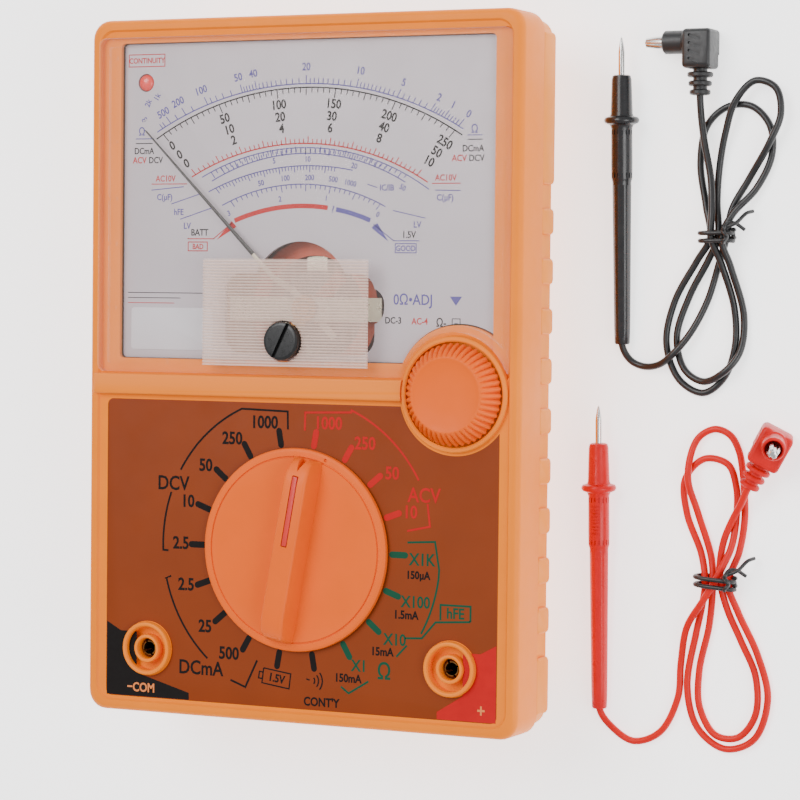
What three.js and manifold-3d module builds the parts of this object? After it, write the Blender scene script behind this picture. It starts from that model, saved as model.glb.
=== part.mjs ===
// Analog multimeter, lying on its back with its dial facing up.
// Millimetres. +Z out of the dial, +Y towards the top of the dial, +X to the reader's right.
// The origin is in the middle of the surface the meter lies on.
import * as THREE from "three";
import { mergeVertices } from "three/addons/utils/BufferGeometryUtils.js";
import Module from "manifold-3d";

const wasm = await Module();
wasm.setup();

// ---------------------------------------------------------------- driving dimensions
const CASE_WIDTH = 102;
const CASE_LENGTH = 150;
const CASE_DEPTH = 32; // back face to the front rim
const SEAM_HEIGHT = 21; // where the front shell meets the rear cover
const CASE_CORNER = 4;
const CASE_EDGE = 1.5; // rounding of the front rim
const FRONT_WALL = 2.4;
const SIDE_WALL = 2.2;
const REAR_WALL = 2;
const REAR_STRAIGHT = 7; // height of the rear cover's straight side band
const REAR_TAPER = 6; // how far the rear cover draws in below the band
const TOOTH_LENGTH = 5.4;
const TOOTH_PITCH = 10.4;
const TOOTH_COUNT = 9;
const TOOTH_TOP_Y = 31.8; // centre of the uppermost grip tooth
const TOOTH_HEIGHT = 1; // how far a tooth stands out

const WINDOW_WIDTH = 97;
const WINDOW_BOTTOM = -1;
const WINDOW_TOP = 71;
const WINDOW_THICK = 1.4;
const WINDOW_RISE = 1.2; // how far the window stands above the rim
const WINDOW_SKIRT = 1.8;
const WINDOW_SEAT = 1.6; // depth of the rebate that the window sits in
const OPENING_LEDGE = 3.2; // width of the ledge round the opening
const PLATE_WIDTH = 88.4;
const PLATE_BOTTOM = 2;
const PLATE_TOP = 69.9;
const PLATE_DEPTH = 3; // face of the scale plate below the rim
const PLATE_THICK = 0.8;

const PANEL_WIDTH = 93;
const PANEL_BOTTOM = -71.8;
const PANEL_TOP = -6.9;
const PANEL_DEPTH = 0.5; // face of the printed panel below the rim
const PANEL_THICK = 0.4;
const BAR_BOTTOM = -5.9;
const BAR_TOP = -1.4;
const BAR_RISE = 1;

const RANGE_Y = -37.9;
const RANGE_RADIUS = 21.6;
const RANGE_DISC = 1.2;
const RANGE_HANDLE_RISE = 5; // handle above the disc
const RANGE_HANDLE_LENGTH = 39.4;
const RANGE_HANDLE_WIDTH = 5.4;
const RANGE_HUB = 5;
const RANGE_POSITIONS = 18;
const RANGE_START = -10; // degrees from straight up, clockwise negative about +Z

const OHM_X = 36.4;
const OHM_Y = -4.2;
const OHM_BASE_RADIUS = 10.4;
const OHM_FACE_RADIUS = 7.7;
const OHM_HEIGHT = 4.6;
const OHM_RIDGES = 46;
const OHM_FLUTE = 0.7; // depth of the grooves at the foot
const OHM_FLUTE_TOP = 0.25;
const OHM_SHAFT = 2.9;
const BOSS_RADIUS = 12;
const BOSS_INNER = 10.9;
const BOSS_RISE = 0.8;

const JACK_X = 36;
const JACK_Y = -61;
const JACK_RING = 5.8;
const JACK_GROOVE_OUT = 4.7;
const JACK_TUBE = 3.05;
const JACK_BORE = 2.2;
const SLEEVE_BORE = 1.5;

const PIVOT_Y = 13; // the movement's axis
const POINTER_LENGTH = 54;
const POINTER_REST = 45; // degrees left of straight up
const YOKE_OUTER = 15;
const YOKE_INNER = 11.4;
const CORE_RADIUS = 8.2;
const MOVEMENT_LOW = 13;
const MOVEMENT_HIGH = 24;
const ZERO_X = -2.5;
const ZERO_Y = 6.2;
const ZERO_RADIUS = 4.1;
const ZERO_THROW = 1; // how far the zero screw's pin stands off its axis

const BOARD_LOW = 19.4;
const BOARD_THICK = 1.6;
const CELL_RADIUS = 7.1;
const CELL_LENGTH = 49.2;
const CELL_Y = [-61.6, -46.4];
const CELL_Z = 10;

const GAP = 0.3; // between pieces that move past or nearly touch each other
const FIT = 0.05; // between pieces that are fixed against each other

const DETENT_RADIUS = 15; // from the range switch's axis to its detent ball
const DIMPLE_RADIUS = 0.7;
const ROTOR_RADIUS = 18;
const BALL_RADIUS = 1.3;
const INSERT_LENGTH = 15; // red line set into the top of the range handle
const INSERT_WIDTH = 1.1;
const INSERT_DEPTH = 0.8;
const STRIP_LEFT = -21.8; // ribbed strip over the foot of the window
const STRIP_RIGHT = 17.1;
const STRIP_TOP = 23.5;
const STRIP_THICK = 0.8;
const ARCH_RADIUS = 11.6; // arched cut-out of the scale plate
const ARCH_Y = 15.7;
const LED_X = -38.9;
const LED_Y = 61.5;
const LED_RADIUS = 1.8;
const FUSE_X = 30;
const FUSE_Y = -32;
const FUSE_RADIUS = 2.5;
const FUSE_LENGTH = 20;
const BUZZER_RADIUS = 7.5;
const SCREW_X = 41; // case screws, left and right of the middle
const SCREW_Y = -65;
const SCREW_POST = 3.4;
const SCREW_HEAD = 2.8;
const SCREW_SHANK = 1.3;
const SCREW_FLOOR = 6; // height of the face that a case screw's head bears on

const CORD_RADIUS = 0.75;
const LEADS_BESIDE = 51; // half width of the case that the lead positions are set beside
const CORD_STEPS = 80;
const PLUG_HALF = 3.5; // half the plug's thickness
const PLUG_BODY = 6.2; // plug body along its pin
const PLUG_FRONT = -5.6; // ends of the plug body across its pin
const PLUG_BACK = 2.6;
const RELIEF_END = -11.1;
const RELIEF_RIBS = 3;
const SHROUD_RADIUS = 2.45;
const SHROUD_TOP = 11;
const PIN_RADIUS = 1.3;
const PIN_TOP = 15.4;
const BARREL_END_RADIUS = 1.65;
const GRIP_RADIUS = 2.2;
const GRIP_START = 35;
const FLANGE_RADIUS = 3.7;
const FLANGE_AT = 47;
const NOSE_END = 56.6;
const TIP_RADIUS = 0.7;
const TIP_SEAT = 5.8; // how deep the tip is set in the probe's nose
const TIP_END = 64.6;
const TIE_WIDTH = 2.4;
const TIE_THICK = 0.8;

// ---------------------------------------------------------------- colours
const AMBER = { color: 0xf6a02c, roughness: 0.45, metalness: 0 };
const AMBER_KNOB = { color: 0xea8a28, roughness: 0.5, metalness: 0 };
const CLEAR = { color: 0xe8dcd8, roughness: 0.1, metalness: 0 };
const PRINT = { color: 0xbdb2b4, roughness: 0.5, metalness: 0 };
const BROWN = { color: 0x9c4624, roughness: 0.4, metalness: 0 };
const BLACK = { color: 0x1c1c1c, roughness: 0.5, metalness: 0 };
const RED = { color: 0xd8201e, roughness: 0.4, metalness: 0 };
const STEEL = { color: 0xc8c6c2, roughness: 0.3, metalness: 1 };
const BRASS = { color: 0xc8a050, roughness: 0.35, metalness: 1 };
const COPPER = { color: 0xb06030, roughness: 0.4, metalness: 1 };
const IRON = { color: 0x707274, roughness: 0.5, metalness: 1 };
const BOARD_GREEN = { color: 0x2c6a3c, roughness: 0.5, metalness: 0 };
const WHITE = { color: 0xe8e4da, roughness: 0.5, metalness: 0 };

// ---------------------------------------------------------------- solids
// A closed three.js geometry as a solid that can be joined and cut.
function solid(geometry) {
  const bare = geometry.clone();
  bare.deleteAttribute("normal");
  bare.deleteAttribute("uv");
  const merged = mergeVertices(bare, 1e-5);
  const vertProperties = new Float32Array(merged.attributes.position.array);
  const triVerts = new Uint32Array(merged.index.array);
  return new wasm.Manifold(new wasm.Mesh({ numProp: 3, vertProperties, triVerts }));
}

// An outline pulled straight up from one height to another.
function raise(shape, low, high, steps = 12) {
  const options = { depth: high - low, bevelEnabled: false, curveSegments: steps };
  return solid(new THREE.ExtrudeGeometry(shape, options).translate(0, 0, low));
}

function block(left, right, front, back, low, high) {
  const geometry = new THREE.BoxGeometry(right - left, back - front, high - low);
  return solid(geometry.translate((left + right) / 2, (front + back) / 2, (low + high) / 2));
}

// An upright cylinder or cone.
function disc(x, y, radius, low, high, sides = 24, topRadius = radius) {
  const geometry = new THREE.CylinderGeometry(topRadius, radius, high - low, sides);
  return solid(geometry.rotateX(Math.PI / 2).translate(x, y, (low + high) / 2));
}

function ring(x, y, outer, inner, low, high, sides = 32) {
  return disc(x, y, outer, low, high, sides).subtract(disc(x, y, inner, low - 1, high + 1, sides));
}

// A turned shape about the vertical axis through (x, y), from [radius, height] pairs.
function turned(x, y, profile, sides = 24) {
  const points = profile.map(([radius, height]) => new THREE.Vector2(radius, height));
  return solid(new THREE.LatheGeometry(points, sides).rotateX(Math.PI / 2).translate(x, y, 0));
}

// A turned shape lying along Y from its near end, at height z.
function turnedAlongY(x, y, z, profile, sides = 16) {
  const points = profile.map(([radius, along]) => new THREE.Vector2(radius, along));
  return solid(new THREE.LatheGeometry(points, sides).translate(x, y, z));
}

// A cylinder lying along X.
function rodAlongX(left, right, y, z, radius, sides = 20) {
  const geometry = new THREE.CylinderGeometry(radius, radius, right - left, sides);
  return solid(geometry.rotateZ(Math.PI / 2).translate((left + right) / 2, y, z));
}

function rodAlongY(x, front, back, z, radius, sides = 16) {
  const geometry = new THREE.CylinderGeometry(radius, radius, back - front, sides);
  return solid(geometry.translate(x, (front + back) / 2, z));
}

function roundedOutline(left, right, bottom, top, radius) {
  const shape = new THREE.Shape();
  shape.moveTo(left + radius, bottom);
  shape.lineTo(right - radius, bottom);
  shape.absarc(right - radius, bottom + radius, radius, -Math.PI / 2, 0);
  shape.lineTo(right, top - radius);
  shape.absarc(right - radius, top - radius, radius, 0, Math.PI / 2);
  shape.lineTo(left + radius, top);
  shape.absarc(left + radius, top - radius, radius, Math.PI / 2, Math.PI);
  shape.lineTo(left, bottom + radius);
  shape.absarc(left + radius, bottom + radius, radius, Math.PI, Math.PI * 1.5);
  return shape;
}

function caseOutline(inset, radius = CASE_CORNER) {
  const x = CASE_WIDTH / 2 - inset;
  const y = CASE_LENGTH / 2 - inset;
  return roundedOutline(-x, x, -y, y, Math.max(radius - inset, 0.8));
}

// ---------------------------------------------------------------- the scene graph
const object = new THREE.Group();

function place(name, shape, look, parent = object) {
  const mesh = shape.getMesh();
  const geometry = new THREE.BufferGeometry();
  geometry.setAttribute("position", new THREE.BufferAttribute(mesh.vertProperties, 3));
  geometry.setIndex(new THREE.BufferAttribute(mesh.triVerts, 1));
  geometry.computeVertexNormals();
  const piece = new THREE.Mesh(geometry, new THREE.MeshStandardMaterial(look));
  piece.name = name;
  parent.add(piece);
  return piece;
}

// ---------------------------------------------------------------- heights shared by the pieces
const rim = CASE_DEPTH;
const wallInner = rim - FRONT_WALL;
const seatFloor = rim - WINDOW_SEAT;
const plateFace = rim - PLATE_DEPTH;
const panelFace = rim - PANEL_DEPTH;
const panelFloor = panelFace - PANEL_THICK;
const windowTop = rim + WINDOW_RISE;
const windowUnder = windowTop - WINDOW_THICK;
const boardTop = BOARD_LOW + BOARD_THICK;
const halfWindow = WINDOW_WIDTH / 2;
const halfPanel = PANEL_WIDTH / 2;
const screwPlaces = [[-SCREW_X, SCREW_Y], [SCREW_X, SCREW_Y]];
const above = rim + 5; // clear above the face, where cuts through it end

// ---------------------------------------------------------------- front case
function windowOutline(inset) {
  const x = halfWindow - inset;
  return roundedOutline(-x, x, WINDOW_BOTTOM + inset, WINDOW_TOP - inset, 1.2);
}

function frontCase() {
  const bevel = {
    depth: CASE_DEPTH - SEAM_HEIGHT,
    bevelEnabled: true,
    bevelThickness: CASE_EDGE,
    bevelSize: CASE_EDGE,
    bevelOffset: -CASE_EDGE,
    bevelSegments: 2,
    curveSegments: 4,
  };
  const outer = new THREE.ExtrudeGeometry(caseOutline(0), bevel);
  const lowestBevel = SEAM_HEIGHT - CASE_EDGE;
  let body = solid(outer.translate(0, 0, lowestBevel));
  const wide = CASE_WIDTH;
  const long = CASE_LENGTH;
  body = body.subtract(block(-wide, wide, -long, long, lowestBevel - 5, SEAM_HEIGHT));
  body = body.subtract(raise(caseOutline(SIDE_WALL), SEAM_HEIGHT - 1, wallInner, 4));
  // the bar across the face, and the ring that the ohm-zero knob turns in
  const barLeft = -CASE_WIDTH / 2 + CASE_EDGE;
  body = body.add(block(barLeft, OHM_X - BOSS_RADIUS / 2, BAR_BOTTOM, BAR_TOP, wallInner, rim + BAR_RISE));
  // rebate and opening for the window, kept clear of the ohm-zero ring
  const ringRoom = disc(OHM_X, OHM_Y, BOSS_RADIUS + 0.5, SEAM_HEIGHT, above, 32);
  const rebate = raise(windowOutline(-GAP), seatFloor, above, 3).subtract(ringRoom);
  const opening = raise(windowOutline(OPENING_LEDGE), SEAM_HEIGHT, above, 3);
  const openingRoom = disc(OHM_X, OHM_Y, BOSS_RADIUS + 1.2, SEAM_HEIGHT, above, 32);
  body = body.subtract(rebate).subtract(opening.subtract(openingRoom));
  // recess for the printed panel
  const recess = roundedOutline(-halfPanel - GAP, halfPanel + GAP, PANEL_BOTTOM - GAP, PANEL_TOP + GAP, 1.5);
  body = body.subtract(raise(recess, panelFloor, above, 3).subtract(ringRoom));
  // ohm-zero ring with its sunk floor
  body = body.add(disc(OHM_X, OHM_Y, BOSS_RADIUS, wallInner, rim + BOSS_RISE, 32));
  body = body.subtract(disc(OHM_X, OHM_Y, BOSS_INNER, rim - GAP, above, 32));
  body = body.subtract(disc(OHM_X, OHM_Y, OHM_SHAFT + GAP, SEAM_HEIGHT, above, 24));
  // range switch hole with its stiffening ring inside
  body = body.add(ring(0, RANGE_Y, RANGE_HUB + 2, RANGE_HUB + GAP, wallInner - 1.5, wallInner + 0.5, 24));
  body = body.subtract(disc(0, RANGE_Y, RANGE_HUB + GAP, SEAM_HEIGHT, above, 24));
  // dimples that the detent ball drops into
  for (let step = 0; step < RANGE_POSITIONS; step += 1) {
    const turn = THREE.MathUtils.degToRad(RANGE_START + (step * 360) / RANGE_POSITIONS);
    const x = DETENT_RADIUS * Math.cos(turn);
    const y = RANGE_Y + DETENT_RADIUS * Math.sin(turn);
    body = body.subtract(disc(x, y, DIMPLE_RADIUS, wallInner - 1, wallInner + 0.4, 4));
  }
  // jack collars: an outer ring, a groove and an inner tube
  for (const side of [-1, 1]) {
    const x = side * JACK_X;
    body = body.add(disc(x, JACK_Y, JACK_RING, wallInner, rim + 0.8, 24));
    body = body.subtract(ring(x, JACK_Y, JACK_GROOVE_OUT, JACK_TUBE, rim - 1.8, above, 20));
    body = body.add(disc(x, JACK_Y, JACK_TUBE, boardTop + 1, wallInner + 0.5, 20));
    body = body.subtract(disc(x, JACK_Y, JACK_BORE, SEAM_HEIGHT, above, 16));
  }
  // posts for the case screws
  for (const [x, y] of screwPlaces) {
    const post = disc(x, y, SCREW_POST, SCREW_FLOOR + REAR_WALL + GAP, wallInner + 0.5, 16);
    body = body.add(post).subtract(disc(x, y, SCREW_SHANK + GAP, 0, rim - 6, 12));
  }
  return body;
}

// ---------------------------------------------------------------- rear cover
function rearCover() {
  const bandLow = SEAM_HEIGHT - REAR_STRAIGHT;
  const top = SEAM_HEIGHT - FIT;
  const band = raise(caseOutline(TOOTH_HEIGHT), bandLow, top, 4);
  const halfX = CASE_WIDTH / 2 - TOOTH_HEIGHT;
  const halfY = CASE_LENGTH / 2 - TOOTH_HEIGHT;
  // the back draws in towards the face that the meter lies on
  const drawn = taperedBox(halfX, halfY, REAR_TAPER, 0, bandLow + FIT);
  let body = band.add(drawn);
  // grip teeth and plain ends on both sides and both ends of the band
  const outside = raise(caseOutline(0), bandLow + 0.4, top, 4);
  const outerBand = outside.subtract(raise(caseOutline(TOOTH_HEIGHT * 1.5), 0, top + 1, 4));
  const highestGroove = TOOTH_TOP_Y + TOOTH_PITCH - TOOTH_LENGTH / 2;
  const lowestGroove = TOOTH_TOP_Y - TOOTH_PITCH * TOOTH_COUNT + TOOTH_LENGTH / 2;
  let keep = block(-CASE_WIDTH, CASE_WIDTH, highestGroove, CASE_LENGTH, 0, top);
  keep = keep.add(block(-CASE_WIDTH, CASE_WIDTH, -CASE_LENGTH, lowestGroove, 0, top));
  for (let tooth = 0; tooth < TOOTH_COUNT; tooth += 1) {
    const y = TOOTH_TOP_Y - tooth * TOOTH_PITCH;
    keep = keep.add(block(-CASE_WIDTH, CASE_WIDTH, y - TOOTH_LENGTH / 2, y + TOOTH_LENGTH / 2, 0, top));
  }
  body = body.add(outerBand.intersect(keep));
  // the hollow inside follows the outside one wall in
  const hollowX = halfX - REAR_WALL;
  const hollowY = halfY - REAR_WALL;
  body = body.subtract(taperedBox(hollowX, hollowY, REAR_TAPER, REAR_WALL, bandLow + FIT));
  body = body.subtract(raise(caseOutline(TOOTH_HEIGHT + REAR_WALL), bandLow, SEAM_HEIGHT + 1, 4));
  // sunk seats for the case screws
  for (const [x, y] of screwPlaces) {
    body = body.add(disc(x, y, SCREW_HEAD + 1.6, 1, SCREW_FLOOR + REAR_WALL, 16));
    body = body.subtract(disc(x, y, SCREW_HEAD + GAP, -1, SCREW_FLOOR, 16));
    body = body.subtract(disc(x, y, SCREW_SHANK + GAP, 0, SEAM_HEIGHT, 12));
  }
  return body;
}

// A box whose sides draw in towards its lower face.
function taperedBox(halfX, halfY, draw, low, high) {
  const geometry = new THREE.BoxGeometry(2 * halfX, 2 * halfY, high - low);
  const position = geometry.attributes.position;
  for (let corner = 0; corner < position.count; corner += 1) {
    if (position.getZ(corner) < 0) {
      position.setX(corner, Math.sign(position.getX(corner)) * (halfX - draw));
      position.setY(corner, Math.sign(position.getY(corner)) * (halfY - draw));
    }
  }
  return solid(geometry.translate(0, 0, (low + high) / 2));
}

place("front_case", frontCase(), AMBER);
place("rear_cover", rearCover(), AMBER);
screwPlaces.forEach(([x, y], index) => {
  const head = disc(x, y, SCREW_HEAD, SCREW_FLOOR - 2.2, SCREW_FLOOR - FIT, 16);
  const slot = block(x - SCREW_HEAD, x + SCREW_HEAD, y - 0.4, y + 0.4, SCREW_FLOOR - 3, SCREW_FLOOR - 1.4);
  const shank = disc(x, y, SCREW_SHANK, SCREW_FLOOR - 1, SCREW_FLOOR + 16, 12);
  place(`case_screw_${index + 1}`, head.subtract(slot).add(shank), STEEL);
});

// ---------------------------------------------------------------- window, ribbed strip, scale plate
const notchRadius = BOSS_RADIUS + 0.8;
const zeroHole = disc(ZERO_X, ZERO_Y, 2.2, plateFace, above, 20);
const knobNotch = disc(OHM_X, OHM_Y, notchRadius, plateFace, above, 40);
let windowPane = raise(windowOutline(0), seatFloor + FIT, windowTop, 3);
windowPane = windowPane.subtract(raise(windowOutline(WINDOW_SKIRT), seatFloor - 1, windowUnder, 3));
const wallTop = windowUnder + 0.2;
const notchWall = ring(OHM_X, OHM_Y, notchRadius + 1.4, notchRadius, seatFloor + FIT, wallTop, 40);
const paneRegion = raise(windowOutline(0.4), seatFloor, windowTop, 3);
windowPane = windowPane.add(notchWall.intersect(paneRegion)).subtract(knobNotch).subtract(zeroHole);
place("window", windowPane, CLEAR);

const stripLow = windowTop + FIT;
const stripTop = stripLow + STRIP_THICK;
const strip = block(STRIP_LEFT, STRIP_RIGHT, WINDOW_BOTTOM + 1.8, STRIP_TOP, stripLow, stripTop);
const headRoom = disc(ZERO_X, ZERO_Y, ZERO_RADIUS + GAP, rim, above, 24);
place("ribbed_strip", strip.subtract(headRoom), CLEAR);

const plateLow = plateFace - PLATE_THICK;
const halfPlate = PLATE_WIDTH / 2;
const plateOutline = roundedOutline(-halfPlate, halfPlate, PLATE_BOTTOM, PLATE_TOP, 0.8);
const plateCut = (outline) => raise(outline, plateLow - 1, plateFace + 1, 5);
const plateHole = (x, y, radius, sides) => disc(x, y, radius, plateLow - 1, plateFace + 1, sides);
let scalePlate = raise(plateOutline, plateLow, plateFace, 3);
// the movement shows through a low opening with an arch above it
scalePlate = scalePlate.subtract(plateCut(roundedOutline(-19, 19, PLATE_BOTTOM + 1.2, 20.6, 4)));
scalePlate = scalePlate.subtract(plateHole(-1, ARCH_Y, ARCH_RADIUS, 40));
scalePlate = scalePlate.subtract(plateHole(OHM_X, OHM_Y, notchRadius + 1.8, 40));
scalePlate = scalePlate.subtract(plateHole(LED_X, LED_Y, LED_RADIUS + GAP / 2, 20));
place("scale_plate", scalePlate, PRINT);
const ledLow = plateFace - 9;
place("continuity_led", turned(LED_X, LED_Y, [
  [0, ledLow],
  [LED_RADIUS, ledLow],
  [LED_RADIUS, plateFace],
  [LED_RADIUS * 0.7, plateFace + 0.4],
  [0, plateFace + 0.6],
], 20), RED);

// ---------------------------------------------------------------- printed panel
const panelOutline = roundedOutline(-halfPanel, halfPanel, PANEL_BOTTOM, PANEL_TOP, 1.2);
let panel = raise(panelOutline, panelFloor + FIT, panelFace, 3);
panel = panel.subtract(disc(0, RANGE_Y, RANGE_HUB + 1, panelFloor - 1, rim, 24));
panel = panel.subtract(disc(OHM_X, OHM_Y, notchRadius, panelFloor - 1, rim, 40));
for (const side of [-1, 1]) {
  panel = panel.subtract(disc(side * JACK_X, JACK_Y, JACK_RING + GAP, panelFloor - 1, rim, 32));
}
place("panel_label", panel, BROWN);

// ---------------------------------------------------------------- range switch
const rangeSwitch = new THREE.Group();
rangeSwitch.position.set(0, RANGE_Y, 0);
rangeSwitch.rotation.z = THREE.MathUtils.degToRad(RANGE_START);
object.add(rangeSwitch);

const discLow = panelFace + GAP;
const discTop = discLow + RANGE_DISC;
const handleTop = discTop + RANGE_HANDLE_RISE;
const rotorLow = boardTop + 1.2;
const rotorTop = rotorLow + 1.6;
const hubLow = rotorTop + GAP;
let rangeKnob = turned(0, 0, [
  [0, discLow],
  [RANGE_RADIUS, discLow],
  [RANGE_RADIUS, discTop - 0.6],
  [RANGE_RADIUS - 0.7, discTop],
  [0, discTop],
], 48);
const grooveOuter = RANGE_RADIUS - 1.7;
rangeKnob = rangeKnob.subtract(ring(0, 0, grooveOuter, grooveOuter - 0.4, discTop - 0.3, discTop + 1, 48));
const handleHalf = RANGE_HANDLE_WIDTH / 2;
const handle = new THREE.Shape();
handle.moveTo(-handleHalf - 0.8, 0);
handle.lineTo(handleHalf + 0.8, 0);
handle.lineTo(handleHalf, RANGE_HANDLE_RISE);
handle.lineTo(-handleHalf, RANGE_HANDLE_RISE);
const handleOptions = { depth: RANGE_HANDLE_LENGTH, bevelEnabled: false };
const handleBar = new THREE.ExtrudeGeometry(handle, handleOptions).rotateX(Math.PI / 2);
rangeKnob = rangeKnob.add(solid(handleBar.translate(0, RANGE_HANDLE_LENGTH / 2, discTop - FIT)));
const handleEnd = RANGE_HANDLE_LENGTH / 2;
const insertEnd = handleEnd - 3.5;
const insertStart = insertEnd - INSERT_LENGTH;
const insertHalf = INSERT_WIDTH / 2;
const insertLow = handleTop - INSERT_DEPTH;
const play = GAP / 2;
rangeKnob = rangeKnob.subtract(block(
  -insertHalf - play,
  insertHalf + play,
  insertStart - play,
  insertEnd + play,
  insertLow - play,
  handleTop + 1,
));
// notch in the handle's tip
rangeKnob = rangeKnob.subtract(block(-0.6, 0.6, handleEnd - 1.2, handleEnd + 1, discTop + 1, handleTop + 1));
rangeKnob = rangeKnob.add(disc(0, 0, RANGE_HUB, hubLow, discLow + FIT, 24));
rangeKnob = rangeKnob.subtract(disc(0, 0, SCREW_SHANK + GAP, hubLow - 1, hubLow + 7, 12));
place("range_knob", rangeKnob, AMBER_KNOB, rangeSwitch);
const insert = block(-insertHalf, insertHalf, insertStart, insertEnd, insertLow, handleTop);
place("range_pointer", insert, RED, rangeSwitch);

const pocketInner = BALL_RADIUS + GAP;
let rotor = disc(0, 0, ROTOR_RADIUS, rotorLow, rotorTop, 40);
rotor = rotor.subtract(disc(0, 0, SCREW_SHANK + GAP, rotorLow - 1, rotorTop + 1, 12));
const ballTop = wallInner - GAP;
rotor = rotor.add(disc(DETENT_RADIUS, 0, pocketInner + 0.9, rotorTop - FIT, ballTop - 1.3, 16));
rotor = rotor.subtract(disc(DETENT_RADIUS, 0, pocketInner, rotorTop + 0.3, wallInner, 16));
place("switch_rotor", rotor, WHITE, rangeSwitch);
const ball = new THREE.SphereGeometry(BALL_RADIUS, 12, 8);
place("detent_ball", solid(ball.translate(DETENT_RADIUS, 0, ballTop - BALL_RADIUS)), STEEL, rangeSwitch);
const springWire = 0.22;
const springTop = ballTop - 2 * BALL_RADIUS - 0.6;
const spring = helix(DETENT_RADIUS, 0, BALL_RADIUS - 0.1, springWire, rotorTop + 0.9, springTop, 3);
place("detent_spring", spring, STEEL, rangeSwitch);
// contact fingers under the rotor, with their tips just clear of the board's tracks
[90, 210].forEach((turn, index) => {
  const strips = block(6, DETENT_RADIUS, -1.1, 1.1, rotorLow - 0.6, rotorLow - GAP);
  const tips = block(DETENT_RADIUS - 2, DETENT_RADIUS, -1.1, 1.1, boardTop + GAP, rotorLow - 0.5);
  place(`switch_brush_${index + 1}`, strips.add(tips).rotate([0, 0, turn]), BRASS, rangeSwitch);
});
const screwHead = disc(0, 0, 2.6, rotorLow - 2.2, rotorLow - GAP, 16);
const screwSlot = block(-2.6, 2.6, -0.4, 0.4, rotorLow - 3, rotorLow - 1.5);
const screwStem = disc(0, 0, SCREW_SHANK, rotorLow - 1, hubLow + 6, 12);
place("knob_screw", screwHead.subtract(screwSlot).add(screwStem), STEEL, rangeSwitch);

// A round wire wound in an upright coil, with flat-cut ends.
function helix(x, y, radius, wire, low, high, turns) {
  const points = [];
  const steps = turns * 10;
  for (let step = 0; step <= steps; step += 1) {
    const turn = (step / 10) * 2 * Math.PI;
    const height = low + ((high - low) * step) / steps;
    points.push(new THREE.Vector3(x + radius * Math.cos(turn), y + radius * Math.sin(turn), height));
  }
  return wireAlong(new THREE.CatmullRomCurve3(points), wire, steps, 6);
}

// A round wire or cord along a curve.
function wireAlong(curve, radius, steps, sides) {
  const section = new THREE.Shape();
  for (let side = 0; side < sides; side += 1) {
    const turn = (side / sides) * 2 * Math.PI;
    const x = radius * Math.cos(turn);
    const y = radius * Math.sin(turn);
    if (side === 0) section.moveTo(x, y);
    else section.lineTo(x, y);
  }
  return solid(new THREE.ExtrudeGeometry(section, { steps, bevelEnabled: false, extrudePath: curve }));
}

// ---------------------------------------------------------------- ohm-zero adjuster
const knobLow = rim;
const knobTop = knobLow + OHM_HEIGHT;
const flutedProfile = [
  [0, knobLow],
  [OHM_BASE_RADIUS, knobLow],
  [OHM_BASE_RADIUS, knobLow + 0.8],
  [OHM_FACE_RADIUS, knobTop],
  [0, knobTop],
].map(([radius, height]) => new THREE.Vector2(radius, height));
const fluted = new THREE.LatheGeometry(flutedProfile, OHM_RIDGES * 2).rotateX(Math.PI / 2);
// every second line of the side is drawn in, which leaves a ridge between each two
const flutedPoints = fluted.attributes.position;
for (let point = 0; point < flutedPoints.count; point += 1) {
  const station = Math.floor(point / flutedProfile.length);
  const row = point % flutedProfile.length;
  if (station % 2 === 1 && row > 0 && row < flutedProfile.length - 1) {
    const depth = row === flutedProfile.length - 2 ? OHM_FLUTE_TOP : OHM_FLUTE;
    const radius = Math.hypot(flutedPoints.getX(point), flutedPoints.getY(point));
    flutedPoints.setX(point, (flutedPoints.getX(point) * (radius - depth)) / radius);
    flutedPoints.setY(point, (flutedPoints.getY(point) * (radius - depth)) / radius);
  }
}
let ohmKnob = solid(fluted);
ohmKnob = ohmKnob.subtract(disc(0, 0, OHM_SHAFT + GAP, knobLow - 1, knobLow + 2.6, 20));
const ohmAdjuster = new THREE.Group();
ohmAdjuster.position.set(OHM_X, OHM_Y, 0);
object.add(ohmAdjuster);
place("ohm_zero_knob", ohmKnob, AMBER_KNOB, ohmAdjuster);
place("pot_shaft", disc(0, 0, OHM_SHAFT, boardTop + 2.6, knobLow + 2.3, 20), WHITE, ohmAdjuster);
const potBody = disc(OHM_X, OHM_Y, 8, boardTop + FIT, boardTop + 5, 28);
const potBore = disc(OHM_X, OHM_Y, OHM_SHAFT + GAP, boardTop + 2.3, boardTop + 6, 20);
place("potentiometer", potBody.subtract(potBore), BLACK);

// ---------------------------------------------------------------- jacks
const jackNames = ["black_jack_sleeve", "red_jack_sleeve"];
[-1, 1].forEach((side, index) => {
  const sleeve = ring(side * JACK_X, JACK_Y, JACK_BORE - 0.1, SLEEVE_BORE, BOARD_LOW - 0.8, rim - 1.5, 16);
  place(jackNames[index], sleeve, BRASS);
});

// ---------------------------------------------------------------- circuit board and what it carries
const boardX = CASE_WIDTH / 2 - 6;
const boardFront = -CASE_LENGTH / 2 + 5;
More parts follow.
